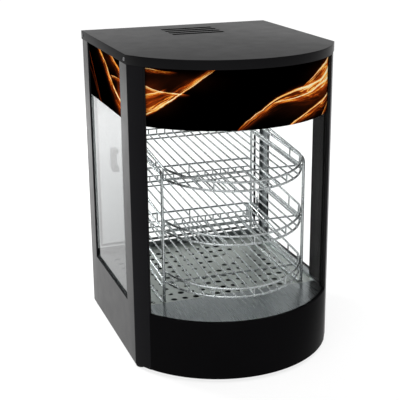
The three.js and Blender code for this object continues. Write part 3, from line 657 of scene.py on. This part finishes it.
def corner_liner(side):
    """The liner of one front corner, as one bent sheet."""
    corners = [(HALF - LINER["gap"], LINER["front"]), (LINER["x"], LINER["front"]),
               (LINER["x"], LINER["back"]), (LINER["return_x"], LINER["back"])]
    path = rounded([Vector((x, y, 0)) for x, y in corners], 1.5, 3)
    far_skin = []
    for i, p in enumerate(path):
        a = (p - path[i - 1]).normalized() if i else (path[1] - p).normalized()
        b = (path[i + 1] - p).normalized() if i + 1 < len(path) else a
        across = Vector((a.y + b.y, -a.x - b.x, 0)).normalized()
        far_skin.append(p + across * SHEET)
    loop = path + far_skin[::-1]
    n = len(loop)
    points = [place(side * p.x, p.y, z) for z in LINER["z"] for p in loop]
    faces = ring_faces(2, n)
    for level in (0, n):
        for k in range(len(path) - 1):
            faces.append((level + k, level + k + 1, level + n - 2 - k, level + n - 1 - k))
    return points, faces


WINDOW = (51.0, 330.0)  # its front and rear edges
WALL_LEVELS = (SHEET_FOOT, 138, 660, 672)  # the wall's foot, its window's sill and head, its top
REAR_HEM = 9
PILLAR_RETURN = 5.5
REAR_CORNER, LINING, OUTSIDE = 1, 2, 3  # places in the wall's list of materials


def wall_path():
    """The outer skin of a side wall in plan, from its rear hem to the return of its pillar."""
    shoulder = Vector((ARC_X, -PILLAR_Y))
    inward = (Vector((0, ARC_Y)) - shoulder).normalized()
    corners = [Vector((HALF - REAR_HEM, SIDE_DEPTH)), Vector((HALF, SIDE_DEPTH)), Vector((HALF, 0)),
               shoulder, shoulder + inward * PILLAR_RETURN]
    path = rounded(corners, 2.2, 4)
    gap = next(i for i in range(1, len(path)) if path[i].y < WINDOW[0])
    edges = [Vector((HALF, WINDOW[1])), Vector((HALF, WINDOW[0]))]
    return path[:gap] + edges + path[gap:], gap


def inner_skin(path):
    """A path moved inwards by the sheet's thickness."""
    inner = []
    for i, p in enumerate(path):
        a = (p - path[i - 1]).normalized() if i else None
        b = (path[i + 1] - p).normalized() if i + 1 < len(path) else None
        a, b = a or b, b or a
        normals = [Vector((d.y, -d.x)) for d in (a, b)]
        mitre = (normals[0] + normals[1]).normalized()
        inner.append(p + mitre * (SHEET / max(0.5, mitre.dot(normals[1]))))
    return inner


def paint_wall(obj, side):
    """Gives the inside of the corners, their lining and the flat outside their own materials."""
    for material in (corner_steel, liner_coat, side_coat):
        obj.data.materials.append(material)
    foot, top = LINER["z"]
    for face in obj.data.polygons:
        x, y, z = (v / MM for v in face.center - Vector((0, FRONT_Y, 0)))
        inside = abs(x) < HALF - SHEET * 0.7
        if inside and foot - 0.1 < z < top + 0.1:
            lined = y > LINER["front"] - 0.5 and abs(x) < HALF - 2
            if y > WINDOW[1]:
                face.material_index = REAR_CORNER
            elif lined or face.normal.x * side < -0.1:
                face.material_index = LINING
        elif face.normal.x * side > 0.97:
            face.material_index = OUTSIDE


def side_wall(name, side):
    """One folded sheet with its window, built as two skins with the edges closed."""
    outer, gap = wall_path()
    skins = (outer, inner_skin(outer))
    n = len(outer)
    points = [place(side * p.x, p.y, z) for skin in skins for z in WALL_LEVELS for p in skin]

    faces = []

    def quad(*corners):
        """A face from corners given as (skin, level, place in the path)."""
        faces.append([(skin * len(WALL_LEVELS) + level) * n + i for skin, level, i in corners])

    for level in range(len(WALL_LEVELS) - 1):
        for i in range(n - 1):
            if level == 1 and i == gap:
                continue
            for skin in (0, 1):
                quad((skin, level, i), (skin, level, i + 1), (skin, level + 1, i + 1), (skin, level + 1, i))
        for i in (0, n - 1):
            quad((0, level, i), (1, level, i), (1, level + 1, i), (0, level + 1, i))
    for i in range(n - 1):
        for level in (0, len(WALL_LEVELS) - 1):
            quad((0, level, i), (0, level, i + 1), (1, level, i + 1), (1, level, i))
    for level in (1, 2):
        quad((0, level, gap), (0, level, gap + 1), (1, level, gap + 1), (1, level, gap))
    for i in (gap, gap + 1):
        quad((0, 1, i), (1, 1, i), (1, 2, i), (0, 2, i))
    shape = Shape().add(points, faces)
    shape.add(*corner_liner(side))
    obj = shape.make(f"{name}_side", black_coat, "case", "black_paint", [f"{name}_side_panel"])
    paint_wall(obj, side)


def apron():
    """The curved sheet below the glass, with rounded edges turned in above and below."""
    rim = ARC_R - 6.7
    inner = ARC_R - SHEET
    bend = 1.6
    turn = (0.52, 1.05, 1.57)  # radians of a quarter round
    bent = ARC_R - bend
    profile = [(bent, SHEET_FOOT)]
    profile += [(bent + bend * math.sin(a), SHEET_FOOT + bend - bend * math.cos(a)) for a in turn]
    profile += [(bent + bend * math.cos(a), DECK - bend + bend * math.sin(a)) for a in (0, *turn)]
    profile += [(rim, DECK), (rim, DECK - SHEET), (inner, DECK - SHEET)]
    profile += [(inner, SHEET_FOOT + SHEET), (rim, SHEET_FOOT + SHEET), (rim, SHEET_FOOT)]
    shape = Shape().add(*arc_wall(profile, ARC_HALF - math.radians(0.12), 96))
    shape.make("apron", apron_coat, "case", "black_paint", ["front_apron"])


GLASS_RADIUS = ARC_R - 8.8
GLASS_THICKNESS = 5.0
GLASS_STEPS = 120


def curved_glass():
    outer, inner, edge = GLASS_RADIUS, GLASS_RADIUS - GLASS_THICKNESS, 0.6
    z0, z1 = DECK + 0.4, GLASS_TOP
    profile = [(outer - edge, z0), (outer, z0 + edge), (outer, z1 - edge), (outer - edge, z1),
               (inner + edge, z1), (inner, z1 - edge), (inner, z0 + edge), (inner + edge, z0)]
    shape = Shape().add(*arc_wall(profile, math.radians(58.5), GLASS_STEPS))
    shape.make("curved_glass", front_pane, "case", "clear_glass", ["front_glass"])


def map_band(obj, along):
    """Lays a band's map: u is along(vertex), and v runs from its foot to the cover's lip."""
    layer = obj.data.uv_layers.new(name="band")
    for loop in obj.data.loops:
        co = obj.data.vertices[loop.vertex_index].co
        layer.data[loop.index].uv = (along(co), (co.z / MM - BAND_BOTTOM) / (LIP_BOTTOM - BAND_BOTTOM))


# u0, u1, v0, v1, sag, wave, start, end, strength, body_side
FRONT_WISPS = [
    (-0.10, 0.36, 0.12, 1.12, -0.15, -0.03, 0.12, 0.03, 1.0, 1),
    (-0.12, 0.22, 0.76, 0.58, -0.03, 0.01, 0.05, 0.02, 0.85, -1),
    (-0.10, 0.17, 0.95, 0.93, 0.01, 0.01, 0.05, 0.02, 0.85, -1),
    (-0.12, 0.12, 0.30, 0.66, 0.03, 0.02, 0.09, 0.03, 0.60, -1),
    (0.37, 1.12, -0.15, 1.02, 0.13, 0.17, 0.04, 0.20, 0.95, -1),
    (0.54, 1.12, 0.40, 0.52, 0.05, -0.03, 0.02, 0.08, 0.85, -1),
    (0.58, 1.14, -0.16, 0.44, 0.08, 0.05, 0.04, 0.12, 0.90, -1),
    (0.72, 1.12, 0.58, 1.20, -0.04, 0.05, 0.04, 0.18, 0.90, -1),
    (0.86, 1.10, -0.10, 0.30, 0.02, 0.02, 0.04, 0.08, 0.70, -1),
]
FRONT_GLOWS = [
    (0.02, 0.52, 0.09, 0.20, 0.70),
    (0.15, 0.80, 0.12, 0.12, 0.22),
    (0.96, 0.66, 0.12, 0.24, 0.80),
    (0.76, 0.28, 0.14, 0.16, 0.22),
]
SIDE_WISPS = [
    (0.16, 1.14, 1.20, 0.16, -0.10, 0.05, 0.04, 0.17, 0.85, -1),
    (0.52, 1.14, 1.12, 0.72, -0.03, 0.02, 0.05, 0.10, 0.80, -1),
    (0.66, 1.12, 0.60, 0.64, 0.02, 0.01, 0.03, 0.05, 0.70, -1),
    (-0.10, 0.34, 1.00, 0.05, 0.02, 0.03, 0.02, 0.04, 0.34, -1),
    (-0.14, 0.44, 0.70, -0.10, 0.02, 0.03, 0.02, 0.04, 0.26, -1),
]
SIDE_GLOWS = [(0.98, 0.42, 0.12, 0.24, 0.8), (0.60, 0.86, 0.22, 0.12, 0.22)]


def front_band():
    inner = GLASS_RADIUS + 0.2
    outer = inner + 0.4
    half = math.radians(57.2)
    profile = [(inner, BAND_BOTTOM), (outer, BAND_BOTTOM), (outer, GLASS_TOP), (inner, GLASS_TOP)]
    shape = Shape().add(*arc_wall(profile, half, GLASS_STEPS))
    film = flames("front_flames", FRONT_WISPS, FRONT_GLOWS)
    obj = shape.make("front_band", film, "case", "printed_film", ["front_print"])
    map_band(obj, lambda co: (math.atan2(co.x, ARC_Y * MM + FRONT_Y - co.y) / half + 1) / 2)


def side_band(name):
    low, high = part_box(f"{name}_print")
    shape = Shape().add(*box_part(*plan_box(f"{name}_print")))
    film = flames(f"{name}_flames", SIDE_WISPS, SIDE_GLOWS)
    obj = shape.make(f"{name}_band", film, "case", "printed_film", [f"{name}_print"])
    map_band(obj, lambda co: 1 - (co.y - low.y) / (high.y - low.y))


top_cover()
for side_name, side_sign in SIDES.items():
    side_wall(side_name, side_sign)
apron()
curved_glass()
front_band()
for side_name in SIDES:
    side_band(side_name)


# ---------------- perforated floor
HOLE = {"radius": 6.9, "x": 25, "y": 31, "columns": 15, "rows": 10, "first_y": 32, "sides": 16}
DISH = 0.25  # how far the rim of a hole is turned down


def floor_cell(cx, cy, z0, z1):
    """One hole and the oblong of plate round it, above and below."""
    sides, radius = HOLE["sides"], HOLE["radius"]
    hx, hy = HOLE["x"] / 2, HOLE["y"] / 2
    oblong, rim, hole = [], [], []
    for k in range(sides):
        a = 2 * math.pi * (k + 0.5) / sides
        c, s = math.cos(a), math.sin(a)
        for ring, reach in ((oblong, min(hx / abs(c), hy / abs(s))), (rim, radius + DISH), (hole, radius)):
            ring.append((cx + c * reach, cy + s * reach))
    corners = [(cx + a * hx, cy + b * hy) for a, b in ((1, 1), (-1, 1), (-1, -1), (1, -1))]
    rings = ((oblong, z1), (rim, z1), (hole, z1 - DISH), (hole, z0), (oblong, z0),
             (corners, z1), (corners, z0))
    points = [place(x, y, z) for ring, z in rings for x, y in ring]
    faces = ring_faces(5, sides)
    for corner in range(4):
        k = corner * sides // 4 + 1  # the oblong's points k and k + 1 lie on both sides of the corner
        faces.append((k, 5 * sides + corner, k + 1))
        faces.append((4 * sides + k, 4 * sides + k + 1, 5 * sides + 4 + corner))
    return points, faces


def floor_plate():
    """The perforated plate: its cells welded together, with a plain margin to its edges."""
    x0, x1, y0, y1, z0, z1 = plan_box("floor_plate")
    shape = Shape()
    for column in range(HOLE["columns"]):
        for row in range(HOLE["rows"]):
            cx = HOLE["x"] * (column + 0.5 - HOLE["columns"] / 2)
            shape.add(*floor_cell(cx, HOLE["first_y"] + HOLE["y"] * row, z0, z1))
    obj = shape.make("perforated_floor", plate_steel, "case", "stainless", ["floor_plate"])
    bm = bmesh.new()
    bm.from_mesh(obj.data)
    bmesh.ops.remove_doubles(bm, verts=bm.verts, dist=0.02 * MM)
    outline = [e for e in bm.edges if e.is_boundary]
    for z in (z1, z0):
        edges = [e for e in outline if abs(e.verts[0].co.z / MM - z) < 0.001]
        rim = [bm.verts.new(place(x, y, z)) for x, y in ((x0, y0), (x1, y0), (x1, y1), (x0, y1))]
        border = [bm.edges.new((rim[i], rim[(i + 1) % 4])) for i in range(4)]
        bmesh.ops.triangle_fill(bm, edges=edges + border, use_beauty=True, use_dissolve=False)
    # A known fault: the mesh doesn't list its newest vertices last, so these aren't all corners.
    # The plate's narrow edges stay open, and one face made here slants across 12 of its holes.
    last = list(bm.verts)[-8:]
    top, bottom = last[:4], last[4:]
    for i in range(4):
        j = (i + 1) % 4
        bm.faces.new((top[i], top[j], bottom[j], bottom[i]))
    write_back(bm, obj.data, math.radians(30))


floor_plate()


# ---------------- wire rack
RACK_X = 8
RACK_HALF = 161
RACK_FRONT, RACK_REAR = 15, 313
SLOPE = math.atan(0.07)
LEVELS = {"top": 409, "middle": 294, "bottom": 179}
SHELF_HALF = 155
SHELF_ARC = 160
SHELF_ARC_BACK = 48
SHELF_BACK = 302
GUARD, GUARD_RISE = 23, 0.04  # the guard wire's height in front, and how much it climbs
GRID, GRID_PITCH = 3.4, 20  # the grid's height above the rim wire, and the pitch of its wires
RACK_FOOT, RACK_TOP = 134, 424.5
WIRE = {"rim": 2.4, "grid": 1.9, "post": 1.8, "frame": 3.2, "ledge": 2.3}  # radii


def on_shelf(level, x, y, h):
    """A point of a shelf: x across, y back along its slope, h above its rim wire."""
    back = y * math.cos(SLOPE) - h * math.sin(SLOPE)
    up = y * math.sin(SLOPE) + h * math.cos(SLOPE)
    return place(RACK_X + x, RACK_FRONT + back, level + up)


def shelf_loop(level, lift=0.0, rise=0.0):
    """A shelf's outline, at a height above its rim wire that grows by rise toward the back."""
    end = math.asin(SHELF_HALF / SHELF_ARC)
    flat = []
    for i in range(49):
        a = -end + 2 * end * i / 48
        flat.append((SHELF_ARC * math.sin(a), SHELF_ARC_BACK - SHELF_ARC * math.cos(a)))
    flat += rounded_box(-SHELF_HALF, SHELF_HALF, 0, SHELF_BACK, 14, 4)[:10]
    return [on_shelf(level, x, y, lift + rise * y) for x, y in flat]


def arc_front(x):
    return SHELF_ARC_BACK - math.sqrt(SHELF_ARC**2 - x**2)


def wire_shelf(name):
    """A shelf: its rim and guard wires, the grid between them, cross bars, a rail and posts."""
    level = LEVELS[name]
    shape = Shape()
    shape.add(*tube(shelf_loop(level), WIRE["rim"], 12, closed=True))
    shape.add(*tube(shelf_loop(level, GUARD, GUARD_RISE), WIRE["rim"], 12, closed=True))
    rear = SHELF_BACK - 3.4
    for i in range(-7, 8):
        x = i * GRID_PITCH
        front = arc_front(x)
        line = [(front - 3.4, -0.6), (front - 3.0, GRID), (front + 4, GRID), (SHELF_BACK - 4, GRID),
                (rear, 6), (rear, 14.6)]
        points = rounded([on_shelf(level, x, y, h) for y, h in line], 3 * MM, 4)
        shape.add(*tube(points, WIRE["grid"], 8))
    for y in (9.6, SHELF_BACK - 20):
        bar = [on_shelf(level, s * (RACK_HALF + 2), y, -3.6) for s in (-1, 1)]
        shape.add(*tube(bar, WIRE["grid"], 10))
    rail = [on_shelf(level, s * (SHELF_HALF - 2), SHELF_BACK - 1.2, 14.2) for s in (-1, 1)]
    shape.add(*tube(rail, WIRE["post"], 8))
    posts = [(s * SHELF_HALF, y) for y in (60, 175, 285, 9) for s in (-1, 1)]
    posts += [(x, arc_front(x)) for x in (-80, 80, 0)]
    for x, y in [*posts, (0, SHELF_BACK)]:
        top = GUARD + GUARD_RISE * y
        shape.add(*tube([on_shelf(level, x, y, h) for h in (-1.0, top + 1.0)], WIRE["post"], 8))
    shape.make(f"wire_shelf_{name}", chrome, "case", "chrome_wire", [f"shelf_{name}"])


def rack_side(name, side):
    """A closed frame with the ledges that the cross bars of the shelves lie on."""
    x = RACK_X + side * RACK_HALF
    rise = (RACK_REAR - RACK_FRONT) * math.tan(SLOPE)
    corners = ((RACK_FRONT, RACK_FOOT), (RACK_FRONT, RACK_TOP),
               (RACK_REAR, RACK_TOP + rise), (RACK_REAR, RACK_FOOT))
    loop = rounded([place(x, y, z) for y, z in corners], 14 * MM, 8, closed=True)
    shape = Shape().add(*tube(loop, WIRE["frame"], 14, closed=True))
    for level in LEVELS.values():
        z = level - 10
        ledge = [place(x, y, z + (y - RACK_FRONT) * math.tan(SLOPE)) for y in (RACK_FRONT, RACK_REAR)]
        shape.add(*tube(ledge, WIRE["ledge"], 10))
    shape.make(f"rack_side_{name}", chrome, "case", "chrome_wire", [f"rack_{name}_frame"])


for shelf_name in LEVELS:
    wire_shelf(shelf_name)
for side_name, side_sign in SIDES.items():
    rack_side(side_name, side_sign)


# ---------------- small turned pieces
def turned_foot(name):
    centre, size = middle(name)
    radius, half = size.x / 2, size.z / 2
    profile = [(0, -half), (radius - 2.4, -half), (radius - 1.6, -half + 0.8), (radius - 0.8, -half + 1.2),
               (radius, -half + 4), (radius, half), (0, half)]
    shape = Shape().add(*lathe("z", centre, profile, 40))
    shape.make(f"{name}_pad", foot_rubber, "case", "rubber", [name])


def cover_screw(name, side):
    centre, size = middle(name)
    radius, base = size.y / 2, -side * size.x / 2
    tip = side * size.x / 2
    profile = [(0, base), (radius, base), (radius, base + side * 0.5), (radius * 0.86, tip - side * 0.45),
               (radius * 0.55, tip), (radius * 0.40, tip), (radius * 0.34, tip - side * 0.9),
               (0, tip - side * 1.1)]
    shape = Shape().add(*lathe("x", centre, profile, 24))
    shape.make(f"{name}_head", screw_steel, "case", "zinc_steel", [name])


def thermostat_dial():
    """A round skirt with a grip bar across it."""
    low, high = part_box("thermostat_knob")
    x, z = (low.x + high.x) / 2, (low.z + high.z) / 2
    base = Vector((x, low.y, z))
    skirt = [(0, 0), (18.4, 0), (19, 0.7), (18.6, 2.2), (17.4, 7.2), (16.4, 8), (0, 8)]
    shape = Shape().add(*lathe("y", base, skirt, 64))
    depth = (high.y - low.y) / MM
    outline = rounded_box(-4.5, 4.5, -15.5, 15.5, 3.2, 6)
    rows = ((7.6, 0.0), (depth - 1.2, 0.5), (depth - 0.35, 0.85), (depth, 1.6))
    points = []
    for along, inset in rows:
        for dx, dz in outline:
            reach = 1 - inset / max(4.5, math.hypot(dx, dz))
            points.append(base + Vector((dx * reach, along, dz * reach)) * MM)
    shape.add(points, ring_faces(len(rows), len(outline)) + end_faces(len(rows), len(outline)))
    shape.make("thermostat_dial", black_plastic, "thermostat_knob", "black_plastic", ["thermostat_knob"])


def pilot_lens():
    low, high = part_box("pilot_lamp")
    rim = Vector(((low.x + high.x) / 2, high.y - 6 * MM, (low.z + high.z) / 2))
    profile = [(0, -16), (4.4, -16), (4.4, 0), (6.6, 0), (7, 0.5), (7, 1.3), (6.6, 1.8), (5.2, 1.8),
               (5.0, 3.0), (4.4, 4.3), (3.2, 5.3), (1.6, 5.85), (0, 6)]
    shape = Shape().add(*lathe("y", rim, profile, 36))
    shape.make("pilot_lens", amber_plastic, "case", "amber_lens", ["pilot_lamp"])


def lamp_envelope():
    low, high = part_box("lamp_bulb")
    top = Vector(((low.x + high.x) / 2, (low.y + high.y) / 2, high.z))
    profile = [(0, -56), (5, -55.3), (10, -52.6), (14.4, -48.2), (17.2, -42.4), (18, -36.5), (17.3, -30.5),
               (15.0, -24), (12.2, -17.5), (10.2, -12), (9.2, -7), (8.8, 0), (0, 0)]
    shape = Shape().add(*lathe("z", top, profile, 48))
    shape.make("lamp_envelope", bulb_pane, "case", "bulb_glass", ["lamp_bulb"])


def element_tube():
    low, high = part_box("heating_element")
    radius = (high.z - low.z) / 2 / MM
    x0, x1 = low.x + radius * MM, high.x - radius * MM
    y0, z = low.y + radius * MM, (low.z + high.z) / 2
    line = [Vector((x1, high.y, z)), Vector((x1, y0, z)), Vector((x0, y0, z)), Vector((x0, high.y, z))]
    shape = Shape().add(*tube(rounded(line, 30 * MM, 16), radius, 16))
    shape.make("element_tube", element_steel, "case", "zinc_steel", ["heating_element"])


for side_name, side_sign in SIDES.items():
    for end in ("front", "rear"):
        turned_foot(f"foot_{end}_{side_name}")
        cover_screw(f"cover_screw_{end}_{side_name}", side_sign)
thermostat_dial()
pilot_lens()
lamp_envelope()
element_tube()


# ---------------- pieces kept from the frame
def dress(material, *names, edge=0.0, segments=3):
    """Gives pieces a material, and rounds their edges by edge millimetres."""
    for name in names:
        obj = nodes[name]
        obj.data.materials.clear()
        obj.data.materials.append(material)
        smooth(obj.data)
        if edge:
            soften(obj, edge, segments)


dress(deck_steel, "deck", edge=0.35)
dress(well_steel, "well_pan", edge=0.3)
dress(tray_steel, "water_tray", "tray_support")
dress(ceiling_steel, "ceiling_panel")
dress(sill_steel, "rear_sill", edge=0.3)
dress(zinc, "base_plate", "catch_plate", "hinge_leaf_lower", "hinge_leaf_upper",
      "hinge_bracket_lower", "hinge_bracket_upper", "hinge_pin_lower", "hinge_pin_upper",
      "thermostat_body", "thermostat_shaft", edge=0.3)
dress(black_coat, "rear_lower_panel", "rear_header", edge=0.3)
dress(left_pane, "left_glass", edge=0.5)
dress(right_pane, "right_glass", edge=0.5)
dress(door_pane, "door_glass", edge=0.5)
dress(seal_rubber, "left_window_seal", "right_window_seal", "door_seal", edge=0.3)
dress(black_plastic, "lamp_switch_rocker", "lamp_switch_body", "heat_switch_body",
      "power_inlet", "catch_magnet", edge=0.5)
dress(black_plastic, "door_handle", edge=2.5, segments=4)
dress(red_plastic, "heat_switch_rocker", edge=0.5)
dress(white_ceramic, "terminal_block", "lamp_holder", edge=0.6)


# ---------------- floor, light and camera
def studio_floor():
    """A wide, almost white floor that glows a little and throws no highlight."""
    mesh = bpy.data.meshes.new("studio_floor")
    reach = 30.0
    mesh.from_pydata([(-reach, -reach, 0), (reach, -reach, 0), (reach, reach, 0), (-reach, reach, 0)],
                     [], [(0, 1, 2, 3)])
    tree = Tree("studio_floor").set(Roughness=0.9, Specular_IOR_Level=0.0)
    tree.set(Emission_Color=(1, 1, 1, 1), Emission_Strength=0.76)
    where = tree.coordinates()
    tree.color(tree.mix(tree.noise(where, 3, 2), (0.24, 0.24, 0.24), (0.26, 0.26, 0.26)))
    mesh.materials.append(tree.material)
    new_object("studio_floor", mesh)


def sun(name, direction, strength, spread):
    light = bpy.data.lights.new(name, "SUN")
    light.energy = strength
    light.angle = math.radians(spread)
    new_object(name, light).rotation_euler = Vector(direction).to_track_quat("-Z", "Y").to_euler()


def softbox(name, spot, target, size, power, spread):
    light = bpy.data.lights.new(name, "AREA")
    light.shape = "DISK"
    light.size = size
    light.energy = power
    light.spread = math.radians(spread)
    obj = new_object(name, light)
    obj.location = spot
    obj.rotation_euler = (Vector(target) - Vector(spot)).to_track_quat("-Z", "Y").to_euler()
    obj.visible_camera = False
    obj.visible_glossy = False


def sky(base, lobes):
    """A dim room with soft bright areas. A lobe is (direction, where it starts, where it is
    full, strength), the middle two as cosines of the angle off its direction."""
    world = bpy.data.worlds.new("studio")
    bpy.context.scene.world = world
    world.use_nodes = True
    tree = world.node_tree
    background = tree.nodes["Background"]
    source = tree.nodes.new("ShaderNodeTexCoord")
    total = None
    for direction, start, full, strength in lobes:
        toward = tree.nodes.new("ShaderNodeVectorMath")
        toward.operation = "DOT_PRODUCT"
        toward.inputs[1].default_value = Vector(direction).normalized()
        tree.links.new(source.outputs["Generated"], toward.inputs[0])
        lobe = tree.nodes.new("ShaderNodeMapRange")
        lobe.interpolation_type = "SMOOTHSTEP"
        lobe.inputs["From Min"].default_value = start
        lobe.inputs["From Max"].default_value = full
        lobe.inputs["To Max"].default_value = strength
        tree.links.new(toward.outputs["Value"], lobe.inputs["Value"])
        joined = tree.nodes.new("ShaderNodeMath")
        joined.inputs[0].default_value = base
        if total is not None:
            tree.links.new(total, joined.inputs[0])
        tree.links.new(lobe.outputs["Result"], joined.inputs[1])
        total = joined.outputs[0]
    tree.links.new(total, background.inputs["Color"])
    background.inputs["Strength"].default_value = 1.0


CAMERA_SPOT = (-720, -1843.2, 978.7)
CAMERA_TURN = (0.3367, 0.3063, -0.0105)  # yaw to the right, pitch down and roll, in radians


def camera():
    data = bpy.data.cameras.new("camera")
    data.sensor_width = 36
    data.lens = 88.19
    obj = new_object("camera", data)
    yaw, pitch, roll = CAMERA_TURN
    forward = Vector((math.sin(yaw) * math.cos(pitch), math.cos(yaw) * math.cos(pitch), -math.sin(pitch)))
    turn = forward.to_track_quat("-Z", "Y").to_matrix()
    turn = turn @ Matrix.Rotation(roll, 3, "Z")
    obj.matrix_world = Matrix.Translation(place(*CAMERA_SPOT)) @ turn.to_4x4()
    bpy.context.scene.camera = obj


studio_floor()
sun("key", (0.35, 0.45, -1.0), 1.3, 50)
sun("fill", (-0.5, 0.2, -0.9), 0.7, 60)
softbox("back_left", (-1.9, 2.6, 1.5), (-0.95, 1.9, 0), 1.2, 68, 80)
sky(0.15, [((0.1, 1.0, 0.1), 0.2, 0.9, 0.7), ((0, 0, 1), 0.6, 0.95, 0.6),
           ((-0.5, -0.8, 0.33), 0.80, 0.97, 0.5)])
camera()
bpy.context.scene.view_settings.view_transform = "Standard"
